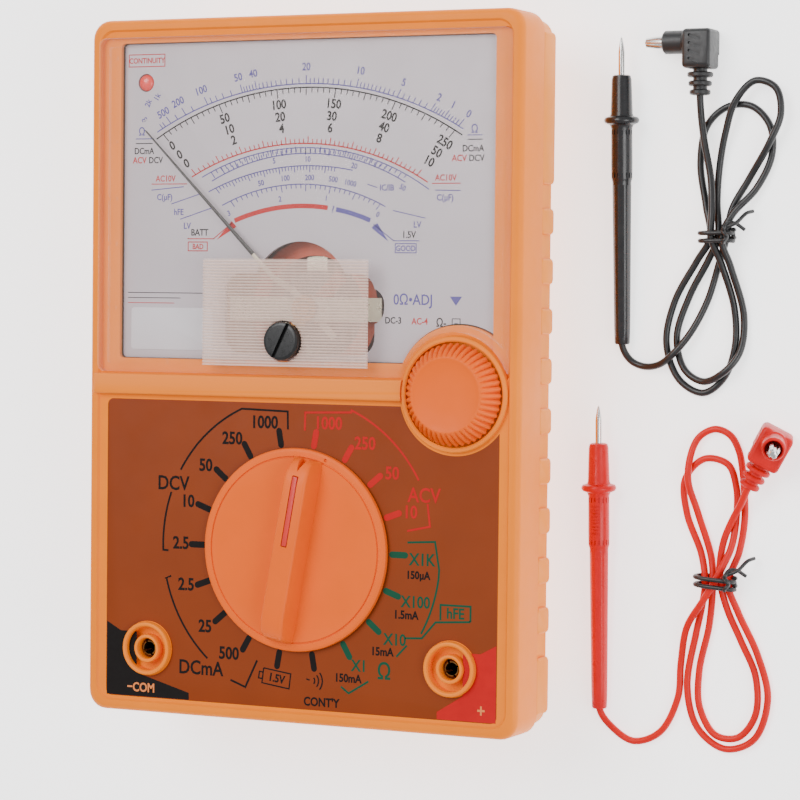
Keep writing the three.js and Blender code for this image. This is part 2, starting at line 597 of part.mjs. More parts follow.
// the board reaches up past the ohm-zero knob on the right and ends below the movement on the left
const boardOutline = new THREE.Shape([
  new THREE.Vector2(-boardX, boardFront + 12),
  new THREE.Vector2(-boardX + 7, boardFront),
  new THREE.Vector2(boardX - 7, boardFront),
  new THREE.Vector2(boardX, boardFront + 12),
  new THREE.Vector2(boardX, 7),
  new THREE.Vector2(boardX - 20, 7),
  new THREE.Vector2(boardX - 20, -7),
  new THREE.Vector2(-boardX, -7),
]);
let board = raise(boardOutline, BOARD_LOW, boardTop);
const screwRoom = 3.2; // radius of the clearance round the knob screw's head
board = board.subtract(disc(0, RANGE_Y, screwRoom, BOARD_LOW - 1, boardTop + 1, 20));
for (const side of [-1, 1]) {
  board = board.subtract(disc(side * JACK_X, JACK_Y, JACK_BORE + 0.1, BOARD_LOW - 1, boardTop + 1, 20));
}
for (const [x, y] of screwPlaces) {
  board = board.subtract(disc(x, y, SCREW_POST + GAP, BOARD_LOW - 1, boardTop + 1, 16));
}
place("circuit_board", board, BOARD_GREEN);
place("buzzer", disc(-33, -17, BUZZER_RADIUS, boardTop + FIT, boardTop + 3.6, 28), BRASS);
const fuseZ = boardTop + 3.4;
const fuseHalf = FUSE_LENGTH / 2;
place("fuse", rodAlongY(FUSE_X, FUSE_Y - fuseHalf, FUSE_Y + fuseHalf, fuseZ, FUSE_RADIUS, 16), WHITE);
[-1, 1].forEach((end, index) => {
  const y = FUSE_Y + end * (fuseHalf - FUSE_RADIUS);
  const outer = FUSE_RADIUS + 0.7;
  const saddle = block(FUSE_X - outer, FUSE_X + outer, y - 2, y + 2, boardTop + FIT, boardTop + 4.6);
  const seat = rodAlongY(FUSE_X, y - 3, y + 3, fuseZ, FUSE_RADIUS + 0.1, 16);
  const mouth = block(FUSE_X - 2, FUSE_X + 2, y - 3, y + 3, fuseZ, boardTop + 6);
  place(`fuse_clip_${index + 1}`, saddle.subtract(seat).subtract(mouth), BRASS);
});
place("capacitor", rodAlongY(-31, -47, -37, boardTop + 3.3, 3.2, 16), BLACK);

// ---------------------------------------------------------------- cells, holder and contacts
const holderWall = 0.6;
const holderHalf = CELL_LENGTH / 2 + 3.4;
const bayHalf = CELL_RADIUS + GAP;
const holderFront = CELL_Y[0] - bayHalf - holderWall;
const holderBack = CELL_Y[1] + bayHalf + holderWall;
let holder = block(-holderHalf, holderHalf, holderFront, holderBack, CELL_Z, BOARD_LOW - FIT);
for (const y of CELL_Y) {
  const bayX = holderHalf - 1;
  holder = holder.subtract(block(-bayX, bayX, y - bayHalf, y + bayHalf, CELL_Z - 1, CELL_Z + bayHalf));
}
holder = holder.subtract(disc(0, RANGE_Y, screwRoom, CELL_Z, BOARD_LOW + 1, 16));
place("battery_holder", holder, BLACK);
CELL_Y.forEach((y, index) => {
  const can = rodAlongX(-CELL_LENGTH / 2, CELL_LENGTH / 2 - 1.2, y, CELL_Z, CELL_RADIUS, 24);
  const nub = rodAlongX(CELL_LENGTH / 2 - 1.3, CELL_LENGTH / 2, y, CELL_Z, 2.7, 16);
  const cell = can.add(nub);
  // the second cell lies the other way round
  place(`cell_${index + 1}`, index === 0 ? cell : cell.mirror([1, 0, 0]), STEEL);
});
[-1, 1].forEach((side, index) => {
  const outerX = side * (holderHalf - 1 - FIT);
  const innerX = side * (holderHalf - 1 - FIT - 0.5);
  const y = CELL_Y[1];
  const tabLeft = Math.min(outerX, innerX);
  const tabRight = Math.max(outerX, innerX);
  const tab = block(tabLeft, tabRight, y - 5, y + 5, CELL_Z + 0.4, CELL_Z + 6.5);
  place(`cell_contact_${index + 1}`, tab, STEEL);
});

// ---------------------------------------------------------------- moving-coil movement
const movement = new THREE.Group();
movement.position.set(0, PIVOT_Y, 0);
object.add(movement);
const baseLow = 8;
const baseTop = 10;
const jewelRadius = 1.5;
const pillarAt = (YOKE_OUTER + YOKE_INNER) / 2 / Math.SQRT2; // under the middle of the yoke's wall
const legOuter = YOKE_OUTER + 3;
let base = raise(roundedOutline(-legOuter - 0.5, legOuter + 0.5, -16, 16, 3), baseLow, baseTop, 3);
for (const [sx, sy] of [[-1, -1], [-1, 1], [1, -1], [1, 1]]) {
  base = base.add(disc(sx * pillarAt, sy * pillarAt, 1.7, baseTop - 0.5, MOVEMENT_LOW - FIT, 12));
}
base = base.subtract(disc(0, 0, jewelRadius + GAP, baseLow - 1, baseTop + 1, 16));
place("movement_base", base, BLACK, movement);
place("yoke_ring", ring(0, 0, YOKE_OUTER, YOKE_INNER, MOVEMENT_LOW, MOVEMENT_HIGH, 40), IRON, movement);
place("core_magnet", disc(0, 0, CORE_RADIUS, MOVEMENT_LOW + 1, MOVEMENT_HIGH, 32), IRON, movement);
[-1, 1].forEach((side, index) => {
  const front = side > 0 ? CORE_RADIUS - 1 : -YOKE_INNER - 1;
  const back = side > 0 ? YOKE_INNER + 1 : 1 - CORE_RADIUS;
  const clampBar = block(-2.4, 2.4, front, back, MOVEMENT_LOW + 2, MOVEMENT_HIGH - 1);
  const gapRing = ring(0, 0, YOKE_INNER - 0.1, CORE_RADIUS + 0.1, MOVEMENT_LOW, MOVEMENT_HIGH, 40);
  place(`core_clamp_${index + 1}`, clampBar.intersect(gapRing), BRASS, movement);
});
// upper bridge on two legs outside the yoke
const bridgeLow = 27.6;
const bridgeTop = 28.6;
const legInner = YOKE_OUTER + 0.5;
let bridge = block(-legOuter, legOuter, -2.5, 2.5, bridgeLow, bridgeTop);
bridge = bridge.add(block(-legOuter, -legInner, -2.5, 2.5, baseTop + FIT, bridgeTop));
bridge = bridge.add(block(legInner, legOuter, -2.5, 2.5, baseTop + FIT, bridgeTop));
bridge = bridge.subtract(disc(0, 0, jewelRadius + GAP, bridgeLow - 1, bridgeTop + 1, 16));
place("upper_bridge", bridge, STEEL, movement);
// jewel screws hold the pivots between them
place("upper_jewel_screw", disc(0, 0, jewelRadius, bridgeLow - 0.1, bridgeTop + 1, 16), BRASS, movement);
place("lower_jewel_screw", disc(0, 0, jewelRadius, baseLow - 0.8, baseTop + 0.3, 16), BRASS, movement);

// coil, pointer and their pivots turn together
const swing = new THREE.Group();
swing.rotation.z = THREE.MathUtils.degToRad(POINTER_REST);
movement.add(swing);
const coilX = (YOKE_INNER + CORE_RADIUS) / 2 - 0.1; // middle of the air gap round the core
const coilLow = MOVEMENT_LOW - 0.8;
const coilTop = MOVEMENT_HIGH + 1.8;
const coilOuter = block(-coilX - 0.8, coilX + 0.8, -1.6, 1.6, coilLow, coilTop);
const coilInner = block(0.8 - coilX, coilX - 0.8, -2, 2, MOVEMENT_LOW, coilTop - 1);
const lowerPivot = disc(0, 0, 0.5, baseTop + 0.6, coilLow + 0.3, 8);
place("moving_coil", coilOuter.subtract(coilInner).add(lowerPivot), COPPER, swing);
// the pointer leaves the coil under the bridge and cranks up to run between plate and window
const needleTop = windowUnder - 1;
const needleLow = needleTop - 0.4;
const bladeLow = coilTop + 0.5;
const bladeTop = bladeLow + 0.6;
const pointerShape = new THREE.Shape();
pointerShape.moveTo(0, bladeLow);
pointerShape.lineTo(5.6, bladeLow);
pointerShape.lineTo(9.6, needleLow);
pointerShape.lineTo(POINTER_LENGTH, needleLow);
pointerShape.lineTo(POINTER_LENGTH, needleTop);
pointerShape.lineTo(9.2, needleTop);
pointerShape.lineTo(5.4, bladeTop);
pointerShape.lineTo(0, bladeTop);
const bladeSide = new THREE.ExtrudeGeometry(pointerShape, { depth: 3, bevelEnabled: false });
// the side view stands upright along +Y and is then cut to its narrowing plan
const bladeSolid = solid(bladeSide.rotateX(Math.PI / 2).rotateZ(Math.PI / 2).translate(-1.5, 0, 0));
const plan = new THREE.Shape();
plan.moveTo(-1.4, -1);
plan.lineTo(1.4, -1);
plan.lineTo(0.9, 18.5);
plan.lineTo(0.3, 21);
plan.lineTo(0.15, POINTER_LENGTH + 1);
plan.lineTo(-0.15, POINTER_LENGTH + 1);
plan.lineTo(-0.3, 21);
plan.lineTo(-0.9, 18.5);
let pointer = bladeSolid.intersect(raise(plan, coilTop, above));
pointer = pointer.add(disc(0, 0, 1.6, coilTop + GAP, bladeTop, 16));
pointer = pointer.add(disc(0, 0, 0.45, bladeTop - 0.3, bridgeLow - 0.25, 8));
// balance tail
pointer = pointer.add(block(-0.6, 0.6, -8.5, 0, bladeLow - 0.1, bladeTop - 0.1));
place("pointer", pointer, WHITE, swing);

function spiral(inner, outer, turns, low, high) {
  const steps = turns * 14;
  const outline = [];
  for (let step = 0; step <= steps; step += 1) {
    const turn = (step / 14) * 2 * Math.PI;
    const radius = inner + ((outer - inner) * step) / steps;
    outline.push(new THREE.Vector2(radius * Math.cos(turn), radius * Math.sin(turn)));
  }
  const back = outline.map((point) => point.clone().setLength(point.length() + 0.2)).reverse();
  return raise(new THREE.Shape(outline.concat(back)), low, high);
}
place("lower_hairspring", spiral(0.9, 4, 3, baseTop + 1, baseTop + 1.4), BRASS, movement);
place("upper_hairspring", spiral(0.9, 3.6, 3, bladeTop + 0.1, bridgeLow - 0.2), BRASS, movement);

// ---------------------------------------------------------------- zero adjustment
const toScrewX = ZERO_X;
const toScrewY = ZERO_Y - PIVOT_Y;
const reach = Math.hypot(toScrewX, toScrewY);
const armLow = bridgeTop + GAP;
const armTop = armLow + 0.6;
const pinRadius = 0.5;
const slotHalf = pinRadius + 0.35;
const pinReach = reach + ZERO_THROW;
let arm = ring(0, 0, 2.8, jewelRadius + GAP, armLow, armTop, 20);
arm = arm.add(block(-1.6, 1.6, 2.3, pinReach + 1.2, armLow, armTop));
arm = arm.subtract(block(-slotHalf, slotHalf, pinReach - 1.6, pinReach + 3, armLow - 1, armTop + 1));
const zeroArm = new THREE.Group();
zeroArm.rotation.z = Math.atan2(-toScrewX, toScrewY);
movement.add(zeroArm);
place("zero_arm", arm, STEEL, zeroArm);

const zeroScrew = new THREE.Group();
zeroScrew.position.set(ZERO_X, ZERO_Y, 0);
zeroScrew.rotation.z = Math.atan2(-toScrewX, toScrewY);
object.add(zeroScrew);
const headLow = windowTop + GAP;
const headTop = headLow + 1.7;
let zeroHead = disc(0, 0, ZERO_RADIUS, headLow, headTop, 28);
// the screwdriver slot stands 26 degrees clockwise from the dial's upright
const slotBar = block(-0.55, 0.55, -ZERO_RADIUS - 1, ZERO_RADIUS + 1, headTop - 1, headTop + 1);
const slotTurn = -26 - THREE.MathUtils.radToDeg(Math.atan2(-toScrewX, toScrewY));
zeroHead = zeroHead.subtract(slotBar.rotate([0, 0, slotTurn]));
zeroHead = zeroHead.add(disc(0, 0, 1.8, armTop + GAP, headLow + 0.2, 16));
zeroHead = zeroHead.add(disc(0, ZERO_THROW, pinRadius, armLow - 0.1, armTop + 0.6, 10));
place("zero_screw", zeroHead, BLACK, zeroScrew);

// ---------------------------------------------------------------- test leads
// Points that each cord runs through, from its plug to its probe. The first and last lie in the
// plug's strain relief and the probe's end. Where it passes over itself it rises by one diameter.
const BLACK_ROUTE = [
  [78.8, 58, 3.5], [79, 53.5, 3], [79.6, 48.8, 2.7], [81.1, 41, 2.6], [81.6, 34.5, 3.2],
  [81.7, 28.8, 3.6], [83.8, 23.2, 2.8], [86.1, 14, 0.9], [86.3, 6, 0.9], [83.9, -0.5, 0.9],
  [79.5, -3.6, 0.9], [74.2, -1, 0.9], [71.2, 6.5, 0.9], [72.9, 15.4, 0.9], [77.9, 24, 1.3],
  [80.9, 28.8, 1.9], [79.6, 35.5, 1.1], [78.2, 44.5, 0.9], [79.6, 52.2, 0.9], [84, 56, 0.9],
  [89.3, 56, 0.9], [93.2, 52, 0.9], [93.7, 45.8, 0.9], [90.6, 39, 1.3], [86, 33.6, 2.8],
  [84, 28.6, 3.6], [85.7, 22.6, 2.4], [88.2, 12.5, 0.9], [87.6, 5, 1.6], [84.6, 0.9, 2.6],
  [79.6, -1.2, 1.4], [75.3, 1.2, 0.9], [73.5, 8, 0.9], [76.2, 16.6, 0.9], [80.4, 24.2, 1.3],
  [82.6, 28.9, 1.9], [82, 36.5, 0.9], [82.4, 43.5, 0.9], [83.9, 50.6, 1.8], [86.3, 57.2, 2.6],
  [90.4, 61.2, 2.4], [94.8, 59.7, 2.4], [96, 54.4, 2.4], [93.8, 48.6, 2.5], [88.9, 41, 1],
  [85.3, 34.6, 1.2], [84.5, 28.9, 1.9], [82.6, 23.4, 1], [80.1, 15.5, 0.9], [76.6, 8.6, 1.8],
  [73, 4.2, 2.6], [69.8, 2.1, 1.8], [66.1, 1.7, 1], [63.2, 3, 1.1], [61.6, 5.9, 1.7],
];
const RED_ROUTE = [
  [90.5, -23.3, 4.1], [89, -26.2, 3.2], [86.9, -29.8, 2.6], [85.1, -34, 2.4], [84.2, -38.6, 2.1],
  [84.25, -43.2, 1.9], [85.6, -48.8, 1.1], [88.6, -55.2, 0.9], [91.9, -62.5, 0.9], [91.9, -70.6, 0.9],
  [88.2, -75.4, 0.9], [83.2, -75.2, 0.9], [79.7, -69.6, 0.9], [79.5, -62, 0.9], [81.6, -52, 0.9],
  [82.55, -43.2, 1.9], [81.9, -38, 1.1], [78.8, -28.8, 1.1], [77, -21.6, 2.6], [77.6, -15.2, 1.5],
  [79.2, -12.5, 1], [82.4, -11.1, 0.9], [85.6, -12.3, 0.9], [87.5, -15.4, 0.9], [88.4, -19.5, 0.9],
  [88.9, -24.5, 0.9], [89, -30, 0.9], [88, -36.5, 1.1], [85.95, -43.2, 1.9], [87.9, -49.2, 1],
  [92.3, -58, 0.9], [94.6, -67, 0.9], [91.7, -75.6, 0.9], [85.4, -78, 0.9], [79.3, -74, 0.9],
  [76.9, -65.6, 0.9], [78.7, -54, 0.9], [79.9, -48.8, 1.2], [80.85, -43.2, 1.9], [79.7, -37.4, 1.1],
  [76.3, -29, 0.9], [75.8, -21.8, 0.9], [80, -17.4, 0.9], [85.2, -18.4, 0.9], [87.1, -23.2, 0.9],
  [87.2, -29, 0.9], [86.7, -35.3, 2.3], [85.1, -39.8, 3.5], [83.3, -43.2, 3.6], [81, -46.9, 3.5],
  [77.1, -52.8, 2.3], [75.4, -60.5, 0.9], [74.8, -68, 0.9], [70.9, -75.5, 0.9], [64.9, -77.8, 0.9],
  [59.7, -74.7, 1.2], [57.6, -71.6, 1.7],
];
// the leads keep their distance from the case's side
const leads = new THREE.Group();
leads.position.x = CASE_WIDTH / 2 - LEADS_BESIDE;
object.add(leads);

function plugBody() {
  let body = block(-PLUG_HALF, PLUG_HALF, PLUG_FRONT, PLUG_BACK, 0, PLUG_BODY);
  body = body.add(disc(0, 0, SHROUD_RADIUS, PLUG_BODY - FIT, SHROUD_TOP, 20));
  body = body.subtract(disc(0, 0, PIN_RADIUS + 0.5, PLUG_BODY + 1, SHROUD_TOP + 1, 16));
  const relief = [[0, RELIEF_END]];
  const ribPitch = (PLUG_FRONT - RELIEF_END) / RELIEF_RIBS;
  for (let rib = 0; rib < RELIEF_RIBS; rib += 1) {
    const start = RELIEF_END + rib * ribPitch;
    relief.push([2.5, start], [2.7, start + ribPitch * 0.6]);
    relief.push([1.9, start + ribPitch * 0.62], [1.9, start + ribPitch]);
  }
  relief.push([0, PLUG_FRONT + 0.5]);
  return body.add(turnedAlongY(0, 0, PLUG_BODY / 2, relief, 16));
}

function plugPin() {
  const low = PLUG_BODY + 1 + GAP;
  return turned(0, 0, [
    [0, low],
    [1, low],
    [1, low + 2],
    [PIN_RADIUS, SHROUD_TOP],
    [PIN_RADIUS, PIN_TOP - 1.6],
    [0.5, PIN_TOP],
    [0, PIN_TOP],
  ], 12);
}

function lead(colour, look, route, plugAt, plugTurn, probeAt, tieAt, tieSize) {
  const points = route.map((point) => new THREE.Vector3(...point));
  const curve = new THREE.CatmullRomCurve3(points, false, "centripetal");
  place(`${colour}_cord`, wireAlong(curve, CORD_RADIUS, CORD_STEPS, 8), look, leads);
  const plug = new THREE.Group();
  plug.position.set(...plugAt);
  plug.rotation.set(...plugTurn, "ZYX");
  leads.add(plug);
  place(`${colour}_plug_body`, plugBody(), look, plug);
  place(`${colour}_plug_pin`, plugPin(), STEEL, plug);
  // the probe rests on its flange and on the end of its barrel
  const probe = new THREE.Group();
  const rest = Math.atan2(FLANGE_RADIUS - BARREL_END_RADIUS, FLANGE_AT);
  probe.position.set(probeAt[0], probeAt[1], BARREL_END_RADIUS + 0.1);
  probe.rotation.x = rest;
  leads.add(probe);
  const body = turnedAlongY(0, 0, 0, [
    [0, 0],
    [BARREL_END_RADIUS, 0],
    [GRIP_RADIUS - 0.1, GRIP_START],
    [GRIP_RADIUS, GRIP_START],
    [GRIP_RADIUS, FLANGE_AT - 0.7],
    [FLANGE_RADIUS - 0.4, FLANGE_AT - 0.7],
    [FLANGE_RADIUS, FLANGE_AT],
    [FLANGE_RADIUS - 0.4, FLANGE_AT + 0.7],
    [GRIP_RADIUS + 0.1, FLANGE_AT + 0.7],
    [GRIP_RADIUS - 0.2, NOSE_END],
    [0, NOSE_END],
  ], 20);
  const tipStart = NOSE_END - TIP_SEAT;
  const bore = rodAlongY(0, tipStart - 0.2, NOSE_END + 1, 0, TIP_RADIUS + GAP / 2, 12);
  place(`${colour}_probe_body`, body.subtract(bore), look, probe);
  const tip = turnedAlongY(0, 0, 0, [
    [0, tipStart],
    [TIP_RADIUS, tipStart],
    [TIP_RADIUS, TIP_END - 1.8],
    [0.15, TIP_END],
    [0, TIP_END],
  ], 12);
  place(`${colour}_probe_tip`, tip, STEEL, probe);
  // the tie goes once round the bundle of runs
  const [tieWide, tieHigh] = tieSize;
  const outerX = tieWide / 2;
  const innerX = outerX - TIE_THICK;
  const outline = roundedOutline(-outerX, outerX, FIT, tieHigh, 1.6);
  outline.holes.push(roundedOutline(-innerX, innerX, FIT + TIE_THICK, tieHigh - TIE_THICK, 0.8));
  const band = raise(outline, -TIE_WIDTH / 2, TIE_WIDTH / 2, 3);
  place(`${colour}_cord_tie`, band.rotate([90, 0, 0]).translate([...tieAt, 0]), BLACK, leads);
}

// the black plug lies on its side and the red plug leans back on its edge
const onItsSide = [0, -Math.PI / 2, 0];
const leaning = [0, THREE.MathUtils.degToRad(20), THREE.MathUtils.degToRad(-29)];
const blackPlugAt = [81.9, 69.4, PLUG_HALF + FIT];
const redPlugAt = [95.2, -12.6, 1.25];
lead("black", BLACK, BLACK_ROUTE, blackPlugAt, onItsSide, [61.6, 6.3], [82.7, 28.8], [8, 5.6]);
lead("red", RED, RED_ROUTE, redPlugAt, leaning, [57.5, -71.2], [83.4, -43.2], [9.4, 5.6]);

export default object;
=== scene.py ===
import bmesh
import bpy
import math
from mathutils import Matrix, Vector


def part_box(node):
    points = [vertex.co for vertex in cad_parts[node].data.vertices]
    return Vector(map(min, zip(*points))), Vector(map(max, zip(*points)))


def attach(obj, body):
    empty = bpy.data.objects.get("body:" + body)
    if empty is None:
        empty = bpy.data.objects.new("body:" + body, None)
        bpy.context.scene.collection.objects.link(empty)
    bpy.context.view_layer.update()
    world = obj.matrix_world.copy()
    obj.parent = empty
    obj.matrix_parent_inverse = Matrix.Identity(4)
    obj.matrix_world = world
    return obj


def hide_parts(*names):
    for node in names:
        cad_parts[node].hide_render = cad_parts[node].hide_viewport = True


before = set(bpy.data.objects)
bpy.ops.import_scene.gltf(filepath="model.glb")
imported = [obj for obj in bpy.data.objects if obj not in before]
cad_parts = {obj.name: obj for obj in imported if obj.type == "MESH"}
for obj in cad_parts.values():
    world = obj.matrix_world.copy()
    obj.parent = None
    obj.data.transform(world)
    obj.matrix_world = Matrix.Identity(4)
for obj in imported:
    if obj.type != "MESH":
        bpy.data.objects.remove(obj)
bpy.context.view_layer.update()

# ---------------------------------------------------------------- table, light and camera
# The meter lies on its back on a pale table, under a broad soft lamp and an even bright room.
# All sizes in this file are millimetres, turned to metres by MM where a mesh is made.
MM = 0.001


def shade(red, green, blue, alpha=1.0):
    """A colour as it looks, 0 to 255, turned to light values."""
    def light(value):
        value /= 255
        return value / 12.92 if value <= 0.04045 else ((value + 0.055) / 1.055) ** 2.4
    return (light(red), light(green), light(blue), alpha)


def finish(name, colour, roughness, metal=0.0, mottle=0.05, cloud=9.0, grain=0.35, depth=0.004,
           edge_highlight=0.0, **sockets):
    """A surface with cloudy colour, uneven gloss, a fine grain and edges made paler by a painted highlight.
    """
    material = bpy.data.materials.new(name)
    material.use_nodes = True
    tree = material.node_tree
    shader = tree.nodes["Principled BSDF"]
    shader.inputs["Metallic"].default_value = metal
    for socket, value in sockets.items():
        shader.inputs[socket.replace("_", " ")].default_value = value
    place = tree.nodes.new("ShaderNodeTexCoord")

    def noise(size, detail):
        speckle = tree.nodes.new("ShaderNodeTexNoise")
        speckle.inputs["Scale"].default_value = 1 / (size * MM)
        speckle.inputs["Detail"].default_value = detail
        tree.links.new(place.outputs["Object"], speckle.inputs["Vector"])
        return speckle.outputs["Fac"]

    def mix(factor, first, second):
        blend = tree.nodes.new("ShaderNodeMix")
        blend.data_type = "RGBA"
        tree.links.new(factor, blend.inputs["Factor"])
        for socket, value in (("A", first), ("B", second)):
            found = [entry for entry in blend.inputs if entry.name == socket and entry.type == "RGBA"][0]
            if isinstance(value, tuple):
                found.default_value = value
            else:
                tree.links.new(value, found)
        return [entry for entry in blend.outputs if entry.type == "RGBA"][0]

    def spread(value, low, high, onto_low, onto_high):
        stretch = tree.nodes.new("ShaderNodeMapRange")
        tree.links.new(value, stretch.inputs["Value"])
        for socket, number in (("From Min", low), ("From Max", high), ("To Min", onto_low),
                               ("To Max", onto_high)):
            stretch.inputs[socket].default_value = number
        return stretch.outputs["Result"]

    dark = tuple(channel * (1 - 1.4 * mottle) for channel in colour[:3]) + (1,)
    pale = tuple(min(1, channel * (1 + mottle)) for channel in colour[:3]) + (1,)
    base = mix(spread(noise(cloud, 3), 0.3, 0.7, 0, 1), dark, pale)
    # painted highlight: convex edges, found by pointiness, are mixed towards a paler colour
    if edge_highlight:
        edge = tree.nodes.new("ShaderNodeNewGeometry").outputs["Pointiness"]
        highlight_colour = tuple(channel + (1 - channel) * edge_highlight for channel in colour[:3]) + (1,)
        base = mix(spread(edge, 0.52, 0.6, 0, 1), base, highlight_colour)
    tree.links.new(base, shader.inputs["Base Color"])
    gloss = spread(noise(cloud / 3, 2), 0.3, 0.7, max(0.02, roughness - 0.05), min(1, roughness + 0.07))
    tree.links.new(gloss, shader.inputs["Roughness"])
    bump = tree.nodes.new("ShaderNodeBump")
    bump.inputs["Distance"].default_value = depth * MM
    tree.links.new(noise(grain, 2), bump.inputs["Height"])
    tree.links.new(bump.outputs["Normal"], shader.inputs["Normal"])
    return material


def add_area_light(name, place, aim, size, power):
    lamp = bpy.data.lights.new(name, "AREA")
    lamp.shape = "DISK"
    lamp.size = size
    lamp.energy = power
    holder = bpy.data.objects.new(name, lamp)
    holder.location = place
    holder.rotation_euler = (Vector(aim) - Vector(place)).to_track_quat("-Z", "Y").to_euler()
    bpy.context.scene.collection.objects.link(holder)


add_area_light("broad_lamp", (-0.35, 0.5, 1.1), (0, 0, 0), 0.9, 13)
add_area_light("side_lamp", (1.1, -0.2, 0.8), (0, 0, 0), 0.8, 9)
room = bpy.data.worlds.new("bright_room")
room.use_nodes = True
room.node_tree.nodes["Background"].inputs["Color"].default_value = shade(250, 250, 252)
room.node_tree.nodes["Background"].inputs["Strength"].default_value = 0.8
bpy.context.scene.world = room

table_mesh = bpy.data.meshes.new("table_top")
TABLE_HALF = 3.0
TABLE_DROP = 0.05
table_corners = [(TABLE_HALF * x, TABLE_HALF * y, 0) for x, y in ((-1, -1), (1, -1), (1, 1), (-1, 1))]
table_mesh.from_pydata(table_corners, [], [(0, 1, 2, 3)])
table_top = bpy.data.objects.new("table_top", table_mesh)
table_top.location.z = -TABLE_DROP * MM
bpy.context.scene.collection.objects.link(table_top)
table_mesh.materials.append(finish("pale_table", shade(252, 252, 252), 0.7, mottle=0.004, cloud=60,
                                 Emission_Color=shade(255, 255, 255), Emission_Strength=1.7))

eye = Vector((288.1, 17.5, 592.7)) * MM
aim = Vector((9.0, -6.9, 0)) * MM
roll = math.radians(0.6)
camera_data = bpy.data.cameras.new("camera")
camera_data.sensor_width = 36
camera_data.lens = 134.4
camera_data.clip_start = 0.01
camera = bpy.data.objects.new("camera", camera_data)
back = (eye - aim).normalized()
side = Vector((0, 1, 0)).cross(back).normalized()
upright = Matrix((side, back.cross(side), back)).transposed()
camera.matrix_world = Matrix.Translation(eye) @ (upright @ Matrix.Rotation(roll, 3, "Z")).to_4x4()
bpy.context.scene.collection.objects.link(camera)
bpy.context.scene.camera = camera

# ---------------------------------------------------------------- rear cover
# The rear half of the case is moulded in amber ABS. Its back draws in, and the straight band
# under the seam carries grip teeth all round its two long sides.
SEAM = 21.0
amber = finish("amber_abs", (0.86, 0.205, 0.0), 0.4, mottle=0.025, edge_highlight=0.02, depth=0.002,
               Specular_IOR_Level=0.12)
amber_back = finish("amber_abs_rear", (0.88, 0.25, 0.006), 0.46, mottle=0.03, edge_highlight=0.02, depth=0.004,
                    Specular_IOR_Level=0.18)


def box_of(node):
    """A CAD piece's lowest and highest corners at rest, in millimetres."""
    return [[round(value / MM, 3) for value in corner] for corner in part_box(node)]


def middle_of(node):
    """The middle of a CAD piece seen from above, in millimetres."""
    low, high = box_of(node)
    return tuple(round((near + far) / 2, 3) for near, far in zip(low[:2], high[:2]))


CASE_HALF_X, CASE_HALF_Y, COVER_TOP = box_of("rear_cover")[1]


def rounded(left, right, front, back, radius, height, steps=6):
    """The outline of a rectangle with round corners, at one height."""
    corners = [(right - radius, back - radius, 0), (left + radius, back - radius, 90),
               (left + radius, front + radius, 180), (right - radius, front + radius, 270)]
    loop = []
    for x, y, start in corners:
        for step in range(steps + 1):
            turn = math.radians(start + 90 * step / steps)
            loop.append(Vector((x + radius * math.cos(turn), y + radius * math.sin(turn), height)) * MM)
    return loop


def loft(loops, ends=True):
    """A skin through outlines that have the same number of points, closed at both ends."""
    shape = bmesh.new()
    rows = [[shape.verts.new(point) for point in loop] for loop in loops]
    for low, high in zip(rows, rows[1:]):
        for first in range(len(low)):
            second = (first + 1) % len(low)
            shape.faces.new((low[first], low[second], high[second], high[first]))
    if ends:
        shape.faces.new(list(reversed(rows[0])))
        shape.faces.new(rows[-1])
    return shape


def slab(left, right, front, back, low, high, corner, foot=0.0, brow=0.4, steps=6):
    """A plate or block with round corners and with rounded edges at its foot and brow."""
    loops = []
    for edge, level, way in ((foot, low, 1), (brow, high, -1)):
        turns = [0, 30, 60, 90] if edge else [0]
        rows = []
        for turn in map(math.radians, turns):
            inset = edge * (1 - math.sin(turn))
            height = level + way * edge * (1 - math.cos(turn))
            rows.append(rounded(left + inset, right - inset, front + inset, back - inset,
                                max(corner - inset, 0.06), height, steps))
        loops += rows if way > 0 else reversed(rows)
    return loft(loops)


def turned(profile, x=0, y=0, sides=96):
    """A shape turned about an upright axis, from pairs of radius and height."""
    shape = bmesh.new()
    rows = []
    for radius, height in profile:
        count = sides if radius else 1
        turns = [2 * math.pi * step / count for step in range(count)]
        rows.append([shape.verts.new(Vector((x + radius * math.cos(turn), y + radius * math.sin(turn),
                                             height)) * MM)
                     for turn in turns])
    pairs = list(zip(rows, rows[1:]))
    if profile[0][0] and profile[-1][0]:
        pairs.append((rows[-1], rows[0]))
    for low, high in pairs:
        for step in range(sides):
            following = (step + 1) % sides
            corners = [low[step % len(low)], low[following % len(low)],
                       high[following % len(high)], high[step % len(high)]]
            shape.faces.new(list(dict.fromkeys(corners)))
    return shape


def shift(shape, x=0, y=0, z=0, turn=0, about="Z"):
    """Moves a shape, after turning it about an axis through the origin."""
    bmesh.ops.transform(shape, verts=shape.verts, matrix=Matrix.Translation(Vector((x, y, z)) * MM)
                        @ Matrix.Rotation(math.radians(turn), 4, about))
    return shape


def holder(shape):
    bmesh.ops.recalc_face_normals(shape, faces=shape.faces)
    mesh = bpy.data.meshes.new("part")
    shape.to_mesh(mesh)
    shape.free()
    thing = bpy.data.objects.new("part", mesh)
    bpy.context.scene.collection.objects.link(thing)
    return thing


def combine(first, second, way="UNION"):
    """Joins two closed shapes, or with DIFFERENCE cuts the second out of the first."""
    kept, other = holder(first), holder(second)
    cut = kept.modifiers.new("combine", "BOOLEAN")
    cut.operation = way
    cut.solver = "MANIFOLD"
    cut.object = other
    bpy.context.view_layer.update()
    result = bpy.data.meshes.new_from_object(kept.evaluated_get(bpy.context.evaluated_depsgraph_get()))
    shape = bmesh.new()
    shape.from_mesh(result)
    for thing in (kept, other):
        mesh = thing.data
        bpy.data.objects.remove(thing)
        bpy.data.meshes.remove(mesh)
    bpy.data.meshes.remove(result)
    return shape


def cut_away(shape, *cutters):
    for cutter in cutters:
        shape = combine(shape, cutter, "DIFFERENCE")
    return shape


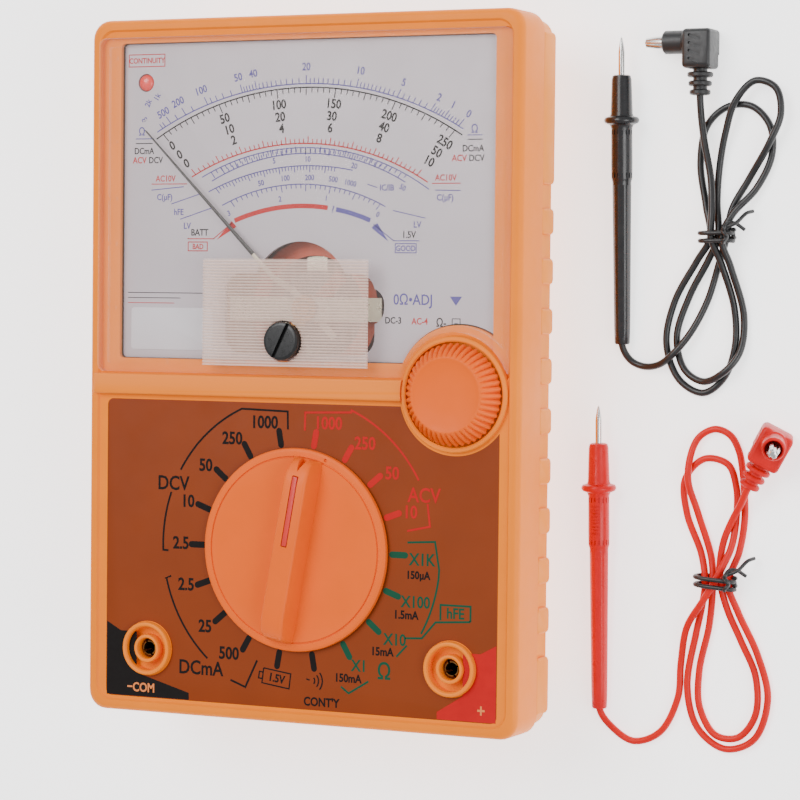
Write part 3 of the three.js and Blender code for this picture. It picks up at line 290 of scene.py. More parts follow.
def join_on(shape, *others):
    for other in others:
        shape = combine(shape, other)
    return shape


def piece(name, shape, material, body, slot, *nodes, smooth=32):
    """One shown piece: its mesh, its finish and the body that it moves with."""
    bmesh.ops.recalc_face_normals(shape, faces=shape.faces)
    mesh = bpy.data.meshes.new(name)
    shape.to_mesh(mesh)
    shape.free()
    mesh.materials.append(material)
    mesh.shade_smooth()
    mesh.set_sharp_from_angle(angle=math.radians(smooth))
    thing = bpy.data.objects.new(name, mesh)
    bpy.context.scene.collection.objects.link(thing)
    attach(thing, body)
    if nodes:
        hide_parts(*nodes)
    return thing


def bowl_loop(inset, height, corner=4.0):
    half_x, half_y = CASE_HALF_X - inset, CASE_HALF_Y - inset
    return rounded(-half_x, half_x, -half_y, half_y, corner, height)


BAND_LOW, DRAW = 14.0, 7.0
TOOTH_LENGTH, TOOTH_PITCH, TOOTH_TOP = 5.4, 10.4, 31.8
TOOTH_COUNT = 9
cover = loft([bowl_loop(DRAW + 1.0, 0), bowl_loop(DRAW + 0.3, 0.25), bowl_loop(DRAW, 0.9),
              bowl_loop(1.15, BAND_LOW - 0.3), bowl_loop(1.0, BAND_LOW), bowl_loop(1.0, COVER_TOP),
              bowl_loop(3.0, COVER_TOP, 2.5), bowl_loop(3.0, BAND_LOW, 2.5), bowl_loop(DRAW + 2, 2.0, 2.5)])
tooth_places = [TOOTH_TOP - step * TOOTH_PITCH for step in range(TOOTH_COUNT)]
plain_above = (TOOTH_TOP + TOOTH_PITCH - TOOTH_LENGTH / 2, CASE_HALF_Y - 4)
plain_below = (-CASE_HALF_Y + 4, tooth_places[-1] - TOOTH_PITCH + TOOTH_LENGTH / 2)
spans = [(y - TOOTH_LENGTH / 2, y + TOOTH_LENGTH / 2) for y in tooth_places] + [plain_above, plain_below]
for side_x in (-1, 1):
    for front, far in spans:
        tooth = slab(BAND_LOW + 0.5, COVER_TOP, front, far, -1.5, 1.0, 1.2, brow=0.45)
        shift(tooth, turn=90 * side_x, about="Y")
        low = min(vert.co.z for vert in tooth.verts) / MM
        shift(tooth, x=side_x * (CASE_HALF_X - 1), z=BAND_LOW + 0.5 - low)
        cover = combine(cover, tooth)
for end_y in (-1, 1):
    lip = slab(-CASE_HALF_X + 5, CASE_HALF_X - 5, BAND_LOW + 0.5, COVER_TOP, -1.5, 1.0, 1.2, brow=0.45)
    shift(lip, turn=-90 * end_y, about="X")
    low = min(vert.co.z for vert in lip.verts) / MM
    shift(lip, y=end_y * (CASE_HALF_Y - 1), z=BAND_LOW + 0.5 - low)
    cover = combine(cover, lip)
SCREW_X, SCREW_Y = middle_of("case_screw_2")
for side_x in (-1, 1):
    at = (side_x * SCREW_X, SCREW_Y)
    boss = turned([(0, 0.5), (4.6, 0.5), (4.6, 8), (0, 8)], *at, sides=48)
    bowl = loft([bowl_loop(DRAW + 0.3, 0.25), bowl_loop(DRAW + 0.1, 0.9), bowl_loop(1.2, BAND_LOW - 0.3)])
    cover = join_on(cover, combine(boss, bowl, "INTERSECT"))
    seat = turned([(0, -1), (3.5, -1), (3.5, 0.0), (3.1, 0.5), (3.1, 6), (1.6, 6), (1.6, 9), (0, 9)], *at,
                  sides=48)
    cover = cut_away(cover, seat)
piece("rear_shell", cover, amber_back, "meter_case", "amber_case", "rear_cover")

# ---------------------------------------------------------------- front case
# The front half of the case is glossy amber ABS. A wide hole shows the scale, a long raised bar
# parts it from the switch panel, and round seats take the two knobs and the two sockets.
RIM = 32.0
front_loops = [bowl_loop(0.0, SEAM), bowl_loop(0.0, RIM - 1.5)]
for turn in (22.5, 45, 67.5, 90):
    inset = 1.5 * (1 - math.cos(math.radians(turn)))
    front_loops.append(bowl_loop(inset, RIM - 1.5 + 1.5 * math.sin(math.radians(turn))))
front_loops += [bowl_loop(2.2, RIM, 3.4), bowl_loop(2.6, RIM - 0.5, 3.2), bowl_loop(3.4, RIM - 0.52, 3.0)]
case = loft(front_loops + [bowl_loop(46, RIM - 0.52, 1)])
case = cut_away(case, slab(-48.8, 48.8, -72.8, 72.8, SEAM - 1, 29.5, 2.0, brow=0))
(_, WINDOW_FRONT, WINDOW_FOOT), (WINDOW_HALF, WINDOW_BACK, WINDOW_TOP) = box_of("window")
(_, PLATE_FRONT, PLATE_UNDER), (PLATE_HALF, PLATE_BACK, PLATE_FACE) = box_of("scale_plate")
WINDOW_GAP, PLATE_GAP = 0.15, 0.1
case = cut_away(case, slab(-PLATE_HALF - PLATE_GAP, PLATE_HALF + PLATE_GAP, PLATE_FRONT - PLATE_GAP,
                           PLATE_BACK + PLATE_GAP, 25, 40, 1.0, brow=0),
                slab(-WINDOW_HALF - WINDOW_GAP, WINDOW_HALF + WINDOW_GAP, WINDOW_FRONT - WINDOW_GAP,
                     WINDOW_BACK + WINDOW_GAP, 30.4, 40, 1.6, brow=0))
RANGE_Y = middle_of("range_knob")[1]
OHM_X, OHM_Y = middle_of("ohm_zero_knob")
JACK_X, JACK_Y = middle_of("red_jack_sleeve")
boss = [(0, 26.6), (14.3, 26.6), (14.3, 29.7), (12.3, 29.9), (12.0, 30.4), (12.0, 32.3), (11.8, 32.52),
        (11.25, 32.55), (10.95, 32.35), (10.95, 31.5), (0, 31.5)]
case = join_on(case, turned(boss, OHM_X, OHM_Y))
case = cut_away(case, turned([(0, 31.2), (10.9, 31.2), (10.9, 40), (0, 40)], OHM_X, OHM_Y),
                turned([(0, 20), (3.2, 20), (3.2, 40), (0, 40)], OHM_X, OHM_Y, 48),
                turned([(0, 20), (5.0, 20), (5.0, 40), (0, 40)], 0, RANGE_Y, 64),
                turned([(0, 31.35), (22.0, 31.35), (22.0, 40), (0, 40)], 0, RANGE_Y, 128))
for side_x in (-1, 1):
    ring = turned([(0, 26), (5.8, 26), (5.8, 32.4), (5.62, 32.7), (5.3, 32.82), (5.0, 32.75), (4.75, 32.4),
                   (4.7, 30.2), (3.05, 30.2), (3.05, 32.1), (2.92, 32.35), (2.6, 32.42), (2.35, 32.3),
                   (2.2, 32.0), (2.2, 31), (0, 31)], side_x * JACK_X, JACK_Y)
    case = cut_away(case, turned([(0, 20), (5.75, 20), (5.75, 40), (0, 40)], side_x * JACK_X, JACK_Y))
    case = join_on(case, ring)
    case = cut_away(case, turned([(0, 20), (2.2, 20), (2.2, 40), (0, 40)], side_x * JACK_X, JACK_Y, 48))
bar = slab(-49.4, 30.4, -5.9, -1.4, 31, 33.0, 0.5, brow=0.45)
bar = cut_away(bar, turned([(0, 20), (11.95, 20), (11.95, 40), (0, 40)], OHM_X, OHM_Y))
case = join_on(case, bar)
piece("front_shell", case, amber, "meter_case", "amber_case", "front_case")

# ---------------------------------------------------------------- case screws
# Two plated cross-head screws pass through the rear cover at its foot and pull the halves together.
plated = finish("plated_steel", shade(178, 178, 176), 0.28, metal=1.0, cloud=2, grain=0.1, depth=0.001)
for number, side_x in ((1, -1), (2, 1)):
    screw = turned([(0, 3.8), (1.9, 3.8), (2.5, 4.1), (2.75, 4.7), (2.75, 5.9), (1.35, 5.9), (1.35, 22),
                    (0, 22)], side_x * SCREW_X, SCREW_Y, 48)
    for long_x, long_y in ((1.5, 0.35), (0.35, 1.5)):
        slot_cut = slab(-long_x, long_x, -long_y, long_y, 3, 4.8, 0.1, brow=0.1, steps=1)
        screw = cut_away(screw, shift(slot_cut, side_x * SCREW_X, SCREW_Y))
    piece(f"case_screw_head_{number}", screw, plated, "meter_case", "plated", f"case_screw_{number}")

# ---------------------------------------------------------------- black and red leads
# Each lead is a limp wire in satin PVC with a moulded plug at one end and a probe at the other.
# It is bundled in loose figure-eight turns under a twisted plastic tie.
CORD_WIDE = 1.5
PROBE_END, PROBE_FLANGE, FLANGE_AT = 1.65, 3.7, 47  # radii, and how far up the flange is
PROBE_REST = 1.75
CORD_INSIDE_PROBE, CORD_INSIDE_PLUG = 5, (0, -8.8, 3.1)
BLACK_ROUTE = (
    (78.8, 58, 3.5), (79, 53.5, 3), (79.6, 48.8, 2.7), (81.1, 41, 2.6), (81.6, 34.5, 3.2),
    (81.7, 28.8, 3.6), (83.8, 23.2, 2.8), (86.1, 14, 0.9), (86.3, 6, 0.9), (83.9, -0.5, 0.9),
    (79.5, -3.6, 0.9), (74.2, -1, 0.9), (71.2, 6.5, 0.9), (72.9, 15.4, 0.9), (77.9, 24, 1.3),
    (80.9, 28.8, 1.9), (79.6, 35.5, 1.1), (78.2, 44.5, 0.9), (79.6, 52.2, 0.9), (84, 56, 0.9),
    (89.3, 56, 0.9), (93.2, 52, 0.9), (93.7, 45.8, 0.9), (90.6, 39, 1.3), (86, 33.6, 2.8),
    (84, 28.6, 3.6), (85.7, 22.6, 2.4), (88.2, 12.5, 0.9), (87.6, 5, 1.6), (84.6, 0.9, 2.6),
    (79.6, -1.2, 1.4), (75.3, 1.2, 0.9), (73.5, 8, 0.9), (76.2, 16.6, 0.9), (80.4, 24.2, 1.3),
    (82.6, 28.9, 1.9), (82, 36.5, 0.9), (82.4, 43.5, 0.9), (83.9, 50.6, 1.8), (86.3, 57.2, 2.6),
    (90.4, 61.2, 2.4), (94.8, 59.7, 2.4), (96, 54.4, 2.4), (93.8, 48.6, 2.5), (88.9, 41, 1),
    (85.3, 34.6, 1.2), (84.5, 28.9, 1.9), (82.6, 23.4, 1), (80.1, 15.5, 0.9), (76.6, 8.6, 1.8),
    (73, 4.2, 2.6), (69.8, 2.1, 1.8), (66.1, 1.7, 1), (63.2, 3, 1.1), (61.6, 5.9, 1.7))
RED_ROUTE = (
    (90.5, -23.3, 4.1), (89, -26.2, 3.2), (86.9, -29.8, 2.6), (85.1, -34, 2.4), (84.2, -38.6, 2.1),
    (84.25, -43.2, 1.9), (85.6, -48.8, 1.1), (88.6, -55.2, 0.9), (91.9, -62.5, 0.9), (91.9, -70.6, 0.9),
    (88.2, -75.4, 0.9), (83.2, -75.2, 0.9), (79.7, -69.6, 0.9), (79.5, -62, 0.9), (81.6, -52, 0.9),
    (82.55, -43.2, 1.9), (81.9, -38, 1.1), (78.8, -28.8, 1.1), (77, -21.6, 2.6), (77.6, -15.2, 1.5),
    (79.2, -12.5, 1), (82.4, -11.1, 0.9), (85.6, -12.3, 0.9), (87.5, -15.4, 0.9), (88.4, -19.5, 0.9),
    (88.9, -24.5, 0.9), (89, -30, 0.9), (88, -36.5, 1.1), (85.95, -43.2, 1.9), (87.9, -49.2, 1),
    (92.3, -58, 0.9), (94.6, -67, 0.9), (91.7, -75.6, 0.9), (85.4, -78, 0.9), (79.3, -74, 0.9),
    (76.9, -65.6, 0.9), (78.7, -54, 0.9), (79.9, -48.8, 1.2), (80.85, -43.2, 1.9), (79.7, -37.4, 1.1),
    (76.3, -29, 0.9), (75.8, -21.8, 0.9), (80, -17.4, 0.9), (85.2, -18.4, 0.9), (87.1, -23.2, 0.9),
    (87.2, -29, 0.9), (86.7, -35.3, 2.3), (85.1, -39.8, 3.5), (83.3, -43.2, 3.6), (81, -46.9, 3.5),
    (77.1, -52.8, 2.3), (75.4, -60.5, 0.9), (74.8, -68, 0.9), (70.9, -75.5, 0.9), (64.9, -77.8, 0.9),
    (59.7, -74.7, 1.2), (57.6, -71.6, 1.7))


def wire(name, route, width, material, fine=8, along=14):
    """A round wire through a row of points, bent as smoothly as the points allow."""
    points = [Vector(point) for point in route]
    dense = []
    for first in range(len(points) - 1):
        before = points[max(first - 1, 0)]
        start, end = points[first], points[first + 1]
        after = points[min(first + 2, len(points) - 1)]
        knots = [0]
        for near, far in ((before, start), (start, end), (end, after)):
            knots.append(knots[-1] + max((far - near).length, 1e-4) ** 0.5)
        for step in range(along):
            span = knots[2] - knots[1]
            pull_in = ((start - before) / (knots[1] - knots[0]) - (end - before) / (knots[2] - knots[0])
                       + (end - start) / span) * span
            pull_out = ((end - start) / span - (after - start) / (knots[3] - knots[1])
                        + (after - end) / (knots[3] - knots[2])) * span
            if first == 0:
                pull_in = end - start
            if first == len(points) - 2:
                pull_out = end - start
            t = step / along
            dense.append(start * (2 * t**3 - 3 * t**2 + 1) + pull_in * (t**3 - 2 * t**2 + t)
                         + end * (3 * t**2 - 2 * t**3) + pull_out * (t**3 - t**2))
    dense.append(points[-1])
    curve = bpy.data.curves.new(name, "CURVE")
    curve.dimensions = "3D"
    curve.bevel_depth = width / 2 * MM
    curve.bevel_resolution = fine
    curve.use_fill_caps = True
    strand = curve.splines.new("POLY")
    strand.points.add(len(dense) - 1)
    for at, point in zip(strand.points, dense):
        at.co = (*(point * MM), 1)
    strand.use_smooth = True
    curve.materials.append(material)
    thing = bpy.data.objects.new(name, curve)
    bpy.context.scene.collection.objects.link(thing)
    return thing


def lathe_along_y(profile, sides=48):
    """A turned shape with its axis laid along Y, from pairs of radius and distance."""
    return shift(turned(profile, sides=sides), turn=-90, about="X")


def plug_shape():
    block = slab(-3.5, 3.5, -5.6, 2.6, 0, 6.2, 1.0, foot=0.7, brow=0.8, steps=4)
    corner = slab(-4.2, -2.3, -6.2, -2.6, -1, 3.2, 0.4, brow=0.2, steps=3)
    block = cut_away(block, corner)
    for step in range(4):
        groove = slab(-0.26, 0.26, -1.1, 1.1, 2.9, 4, 0.24, brow=0, steps=3)
        shift(shift(groove, turn=24), x=-0.4, y=-4.0 + step * 1.55)
        block = cut_away(block, shift(groove, z=2.0))
    for side_x in (-1, 1):
        for step in range(4):
            rib = slab(-1.4, 1.4, -0.3, 0.3, -0.5, 0.3, 0.25, brow=0, steps=3)
            shift(shift(rib, turn=-20), turn=90 * side_x, about="Y")
            shift(rib, x=side_x * 3.6, y=-4.0 + step * 1.6, z=3.4)
            block = cut_away(block, rib)
    shroud = turned([(0, 5.5), (2.8, 5.5), (2.8, 6.3), (2.45, 6.7), (2.45, 10.7), (2.2, 11.0), (1.95, 11.0),
                     (1.8, 10.8), (1.8, 7.5), (0, 7.5)], sides=64)
    relief = [(0, -11.1), (1.5, -11.1), (1.75, -10.9)]
    for rib, wide in ((0, 2.2), (1, 2.45), (2, 2.7)):
        start = -11.0 + rib * 1.83
        relief += [(wide - 0.25, start), (wide, start + 0.25), (wide, start + 0.8),
                   (wide - 0.25, start + 1.05),
                   (1.5, start + 1.1), (1.5, start + 1.8)]
    relief += [(1.5, -5.2), (0, -5.2)]
    tail = shift(lathe_along_y(relief), z=3.1)
    return join_on(block, shroud, tail)


def pin_shape():
    """A hollow sprung pin: four bowed leaves gathered at a round tip."""
    core = turned([(0, 7.2), (0.95, 7.2), (0.95, 14.6), (0.6, 15.2), (0, 15.4)], sides=32)
    for leaf in range(4):
        strip = slab(-0.42, 0.42, -0.2, 0.2, 8.6, 15.0, 0.12, brow=0.1, steps=2)
        bmesh.ops.subdivide_edges(strip, edges=[edge for edge in strip.edges
                                                if abs(edge.verts[0].co.z - edge.verts[1].co.z) > 5 * MM],
                                  cuts=12)
        for vert in strip.verts:
            level = (vert.co.z / MM - 8.6) / 6.4
            vert.co.y += (0.82 + 0.42 * math.sin(math.pi * min(1, level * 1.05))) * MM
        core = join_on(core, shift(strip, turn=45 + 90 * leaf))
    return core


def probe_shape(ribbed):
    """A probe handle from its cord end to its nose, laid along Y."""
    handle_profile = [(0, 0), (1.45, 0), (1.62, 0.3), (1.72, 4), (2.0, 34.2), (2.12, 34.6), (2.22, 35.0),
                      (2.26, 38), (2.22, 45.4), (2.5, 46.1), (3.45, 46.5), (3.7, 46.9), (3.7, 47.3),
                      (3.45, 47.7), (2.5, 48.0), (2.32, 48.5), (2.1, 55.6), (1.9, 56.4), (1.5, 56.6),
                      (0.75, 56.6), (0.75, 56.0), (0, 56.0)]
    handle = lathe_along_y(handle_profile, 64)
    for at, deep in ((35.6, 2.05), (44.6, 2.02)):
        for step in range(16):
            notch = slab(-0.14, 0.14, -0.55, 0.55, deep, 3.2, 0.12, brow=0, steps=2)
            shift(notch, turn=360 * step / 16, about="Y")
            handle = cut_away(handle, shift(notch, y=at))
    if ribbed:
        for step in range(9):
            rib = slab(-1.2, 1.2, -0.18, 0.18, 2.0, 3, 0.1, brow=0, steps=2)
            handle = cut_away(handle, shift(rib, y=37.6 + 0.7 * step))
    for step in range(6):
        facet = slab(-3, 3, 1.5, 33.5, 0, 3, 0.3, brow=0, steps=2)
        facet = shift(facet, turn=0.55, about="X")
        facet = shift(facet, z=1.56)
        handle = cut_away(handle, shift(facet, turn=60 * step + 15, about="Y"))
    return handle


def tip_shape():
    return lathe_along_y([(0, 55.0), (0.7, 55.0), (0.7, 61.3), (0.55, 62.6), (0.24, 64.1), (0, 64.6)], 32)


def tie_pieces(name, centre, size, material, lean):
    """Two turns of flat tie wire round the bundle, with a twisted knot and two loose tail ends."""
    x, y = centre
    half = size / 2
    turns = []
    for lift, offset in ((0.0, -0.85), (0.16, 0.75)):
        for step in range(33):
            turn = 2 * math.pi * step / 32
            wide = math.copysign(abs(math.cos(turn)) ** 0.6, math.cos(turn)) * (half - 0.45)
            high = math.copysign(abs(math.sin(turn)) ** 0.7, math.sin(turn)) * 2.15
            turns.append((x + wide, y + offset + 0.75 * step / 32 + lean * wide, 2.75 + lift + high))
    things = [wire(f"{name}_tie_wrap", turns, 0.95, material, 4, 3)]
    knot_x, knot_y = x + half - 1.4, y + 0.4
    for number, way in ((1, 1), (2, -1)):
        twist = [(knot_x + 0.45 * math.cos(turn * 1.05 + math.pi * number) * way, knot_y + 0.45 * turn - 1.6,
                  5.35 + 0.42 * math.sin(turn * 1.05 + math.pi * number)) for turn in range(8)]
        twist += [(knot_x + 1.2 + way * 0.9, knot_y + 2.6, 4.6),
                  (knot_x + 2.6 + way * 1.2, knot_y + 3.6 + way, 3.2),
                  (knot_x + 3.8 + way * 0.9, knot_y + 3.2 + 1.9 * way, 1.4)]
        things.append(wire(f"{name}_tie_tail_{number}", twist, 0.8, material, 4, 5))
    return things


def lead(colour, route, plug_at, plug_turn, probe_at, lean, looks):
    cord_look, plug_look, probe_look, tie_look = looks
    tie_node = f"{colour}_cord_tie"
    tie_low, tie_high = box_of(tie_node)
    body = f"{colour}_lead"
    probe_tilt = math.atan2(PROBE_FLANGE - PROBE_END, FLANGE_AT)
    inner_end = (probe_at[0], probe_at[1] + CORD_INSIDE_PROBE,
                 PROBE_REST + CORD_INSIDE_PROBE * math.tan(probe_tilt))
    spin = (Matrix.Rotation(math.radians(plug_turn[1]), 4, "Z")
            @ Matrix.Rotation(math.radians(plug_turn[0]), 4, "Y"))
    placed = Matrix.Translation(Vector(plug_at) * MM) @ spin
    inner_start = tuple(placed @ (Vector(CORD_INSIDE_PLUG) * MM) / MM)
    cord = wire(f"{colour}_wire", (inner_start,) + route + (inner_end,), CORD_WIDE, cord_look)
    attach(cord, body)
    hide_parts(f"{colour}_cord")
    plug = plug_shape()
    bmesh.ops.transform(plug, verts=plug.verts, matrix=placed)
    pin = pin_shape()
    bmesh.ops.transform(pin, verts=pin.verts, matrix=placed)
    laid = Matrix.Translation(Vector((*probe_at, PROBE_REST)) * MM) @ Matrix.Rotation(probe_tilt, 4, "X")
    handle = probe_shape(colour == "red")
    bmesh.ops.transform(handle, verts=handle.verts, matrix=laid)
    tip = tip_shape()
    bmesh.ops.transform(tip, verts=tip.verts, matrix=laid)
    ends = [piece(f"{colour}_plug", plug, plug_look, body, f"{colour}_lead", f"{colour}_plug_body"),
            piece(f"{colour}_sprung_pin", pin, pin_steel, body, "plated", f"{colour}_plug_pin"),
            piece(f"{colour}_probe", handle, probe_look, body, f"{colour}_probe", f"{colour}_probe_body"),
            piece(f"{colour}_needle_tip", tip, pin_steel, body, "plated", f"{colour}_probe_tip")]
    for thing in tie_pieces(colour, middle_of(tie_node), round(tie_high[0] - tie_low[0], 3), tie_look, lean):
        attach(thing, body)
        ends.append(thing)
    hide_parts(f"{colour}_cord_tie")


pin_steel = finish("bright_pin_steel", shade(205, 205, 203), 0.2, metal=1.0, cloud=1.5, grain=0.08,
                   depth=0.001)
tie_pvc = finish("black_tie_pvc", shade(24, 24, 25), 0.4, cloud=1.5, grain=0.3, depth=0.01)
black_pvc = finish("black_cord_pvc", shade(20, 20, 21), 0.36, mottle=0.12, cloud=4, grain=0.25, depth=0.01)
black_plug = finish("black_plug_pvc", shade(26, 26, 27), 0.42, mottle=0.12, cloud=3, grain=0.2, depth=0.012)
black_abs = finish("black_probe_abs", shade(27, 27, 29), 0.26, mottle=0.1, cloud=6, grain=0.3, depth=0.006)
red_pvc = finish("red_cord_pvc", (0.60, 0.004, 0.001), 0.4, Specular_IOR_Level=0.25, mottle=0.05, cloud=4,
                 grain=0.25, depth=0.008)
red_plug = finish("red_plug_pvc", (0.56, 0.003, 0.003), 0.42, Specular_IOR_Level=0.25, mottle=0.06, cloud=3,
                  grain=0.2, depth=0.01)
red_abs = finish("red_probe_abs", (0.58, 0.002, 0.004), 0.3, Specular_IOR_Level=0.3, mottle=0.05, cloud=6,
                 grain=0.3, depth=0.006)
lead("black", BLACK_ROUTE, (81.9, 69.4, 3.55), (-90, 0), (61.6, 6.3),
     0.05, (black_pvc, black_plug, black_abs, tie_pvc))
lead("red", RED_ROUTE, (95.2, -12.6, 1.25), (20, -29),
     (57.5, -71.2), -0.06, (red_pvc, red_plug, red_abs, tie_pvc))

# ---------------------------------------------------------------- switch panel and its print
# A thin brown printed label is stuck into the floor of the lower half. Its marks are screen
# printed, so each colour stands a few hundredths of a millimetre above the label.
(_, PANEL_FRONT, PANEL_UNDER), (PANEL_HALF, PANEL_BACK, PANEL_TOP) = box_of("panel_label")
brown = finish("brown_panel_label", (0.2, 0.031, 0.002), 0.5, Specular_IOR_Level=0.2, mottle=0.05, cloud=16,
               grain=0.25, depth=0.006)
black_ink = finish("black_ink", shade(16, 11, 10), 0.6, Specular_IOR_Level=0.15, cloud=3, grain=0.2,
                   depth=0.002)
red_ink = finish("red_ink", (0.46, 0.001, 0.002), 0.5, Specular_IOR_Level=0.2, cloud=3, grain=0.2,
                 depth=0.002)
green_ink = finish("green_ink", (0.002, 0.06, 0.03), 0.5, Specular_IOR_Level=0.15, cloud=3, grain=0.2,
                   depth=0.002)
tan_ink = finish("orange_brown_ink", shade(214, 120, 54), 0.5, cloud=3, grain=0.2, depth=0.002)
panel = slab(-PANEL_HALF, PANEL_HALF, PANEL_FRONT, PANEL_BACK, PANEL_UNDER, PANEL_TOP, 1.4, brow=0.1)
panel = cut_away(panel, turned([(0, 30), (6.2, 30), (6.2, 33), (0, 33)], 0, RANGE_Y, 64),
                 turned([(0, 30), (12.7, 30), (12.7, 33), (0, 33)], OHM_X, OHM_Y),
                 *[turned([(0, 30), (5.95, 30), (5.95, 33), (0, 33)], side_x * JACK_X,
                          JACK_Y) for side_x in (-1, 1)])
piece("panel_label_card", panel, brown, "meter_case", "panel_print", "panel_label")
INK = 0.03
CAPITAL_PART = 0.7  # a capital letter's height as a part of the font's size
MARK_RADIUS, NUMBER_RADIUS = 23.9, 28.0
PLACES = 18


def stroke(shape, points, width, low, ink=INK):
    """A printed line of one width through a row of points, as a thin closed slab."""
    row = [Vector(point) for point in points]
    edges = []
    for at, point in enumerate(row):
        before = (point - row[at - 1]).normalized() if at else None
        after = (row[at + 1] - point).normalized() if at < len(row) - 1 else None
        before, after = before or after, after or before
        along = (before + after).normalized()
        across = Vector((-along.y, along.x)) * width / 2 / max(0.5, along.dot(after))
        edges.append([shape.verts.new(Vector((*corner, level)) * MM) for corner, level in
                      ((point - across, low), (point + across, low), (point + across, low + ink),
                       (point - across, low + ink))])
    for near, far in zip(edges, edges[1:]):
        for first in range(4):
            second = (first + 1) % 4
            shape.faces.new((near[first], near[second], far[second], far[first]))
    shape.faces.new(edges[0][::-1])
    shape.faces.new(edges[-1])


def patch(shape, points, low, ink=INK):
    """A printed patch with the given outline, as a thin closed slab."""
    rows = [[shape.verts.new(Vector((point[0], point[1], level)) * MM) for point in points]
            for level in (low, low + ink)]
    count = len(points)
    for first in range(count):
        second = (first + 1) % count
        shape.faces.new((rows[0][first], rows[0][second], rows[1][second], rows[1][first]))
    for row, way in ((rows[0], -1), (rows[1], 1)):
        shape.faces.new(row[::way])


def arc(centre, radius, start, end, step=2.0):
    """Points on a circle between two bearings, in degrees clockwise from the top."""
    count = max(2, int(abs(end - start) / step) + 1)
    bearings = [math.radians(start + (end - start) * at / (count - 1)) for at in range(count)]
    return [(centre[0] + radius * math.sin(bearing),
             centre[1] + radius * math.cos(bearing)) for bearing in bearings]


def words(shape, text, x, y, height, low, turn=0.0, narrow=0.88, bold=0.0, ink=INK):
    """Printed words, centred on a point, as thin closed letters."""
    body = bpy.data.curves.new("words", "FONT")
    body.body = text
    body.size = height / CAPITAL_PART
    body.align_x, body.align_y = "CENTER", "TOP_BASELINE"
    body.extrude = ink / 2
    body.offset = bold
    body.resolution_u = 3
    thing = bpy.data.objects.new("words", body)
    bpy.context.scene.collection.objects.link(thing)
    mesh = bpy.data.meshes.new_from_object(thing.evaluated_get(bpy.context.evaluated_depsgraph_get()))
    placed = (Matrix.Translation(Vector((x, y, low + ink / 2)) * MM) @ Matrix.Rotation(math.radians(-turn), 4,
                                                                                       "Z")
              @ Matrix.Scale(MM, 4) @ Matrix.Diagonal((narrow, 1, 1, 1)) @ Matrix.Translation((0, -height / 2,
                                                                                               0)))
    mesh.transform(placed)
    shape.from_mesh(mesh)
    bpy.data.objects.remove(thing)
    bpy.data.curves.remove(body)
    bpy.data.meshes.remove(mesh)


ink_black, ink_red, ink_green, ink_tan = bmesh.new(), bmesh.new(), bmesh.new(), bmesh.new()
inks = {"black": ink_black, "red": ink_red, "green": ink_green, "tan": ink_tan}
AROUND = (0, RANGE_Y)
for step in range(PLACES):
    bearing = (step + 0.5) * 360 / PLACES
    colour = "red" if bearing < 80 else "green" if bearing < 155 else "black"
    middle = arc(AROUND, MARK_RADIUS, bearing, bearing)[0]
    out = Vector((math.sin(math.radians(bearing)), math.cos(math.radians(bearing))))
    cap = [Vector(middle) + out * (1.5 * way + 0.68 * math.cos(math.radians(turn)) * way)
           + Vector((out.y, -out.x)) * 0.68 * math.sin(math.radians(turn)) * way
           for way in (1, -1) for turn in range(-90, 91, 30)]
    patch(inks[colour], cap, PANEL_TOP)
panel_words = (
    ("black", 2.6, (("1000", -16.5), ("250", -34), ("50", -52), ("10", -70.5), ("2.5", -89.5), ("2.5", -108),
                    ("25", -128.5), ("500", -145))),
    ("red", 2.6, (("1000", 15), ("250", 34.5), ("50", 52.5), ("10", 71))))
for colour, height, entries in panel_words:
    for text, bearing in entries:
        x, y = arc(AROUND, NUMBER_RADIUS, bearing, bearing)[0]
        words(inks[colour], text, x, y, height, PANEL_TOP, bold=0.09)
for colour, text, x, y, height, turn in (
        ("green", "X1K", 29.3, -38.6, 2.5, 0), ("green", "X100", 27.9, -47.5, 2.4, 0),
        ("green", "X10", 23.2, -55.6, 2.4, 0), ("green", "X1", 15.0, -61.6, 2.4, 0),
        ("black", "150µA", 28.4, -41.9, 1.6, 0), ("black", "1.5mA", 25.7, -50.3, 1.7, 0),
        ("black", "15mA", 20.3, -58.3, 1.7, 0), ("black", "150mA", 12.4, -64.4, 1.7, 0),
        ("black", "DCV", -30.0, -24.8, 3.0, 0), ("black", "DCmA", -22.9, -64.4, 3.0, 0),
        ("red", "ACV", 29.6, -25.2, 3.0, 0), ("green", "Ω", 20.8, -62.4, 3.4, 0),
        ("green", "hFE", 37.0, -49.4, 2.2, 0), ("black", "1.5V", -4.5, -65.5, 1.7, 9),
        ("black", "CONT'Y", 6.2, -69.9, 1.8, 0), ("tan", "−COM", -37.7, -69.6, 1.9, 0),
        ("tan", "+", 43.0, -69.2, 2.6, 0)):
    words(inks[colour], text, x, y, height, PANEL_TOP, turn, bold=0.07)
BRACKET = 32.4
LINE = 0.42
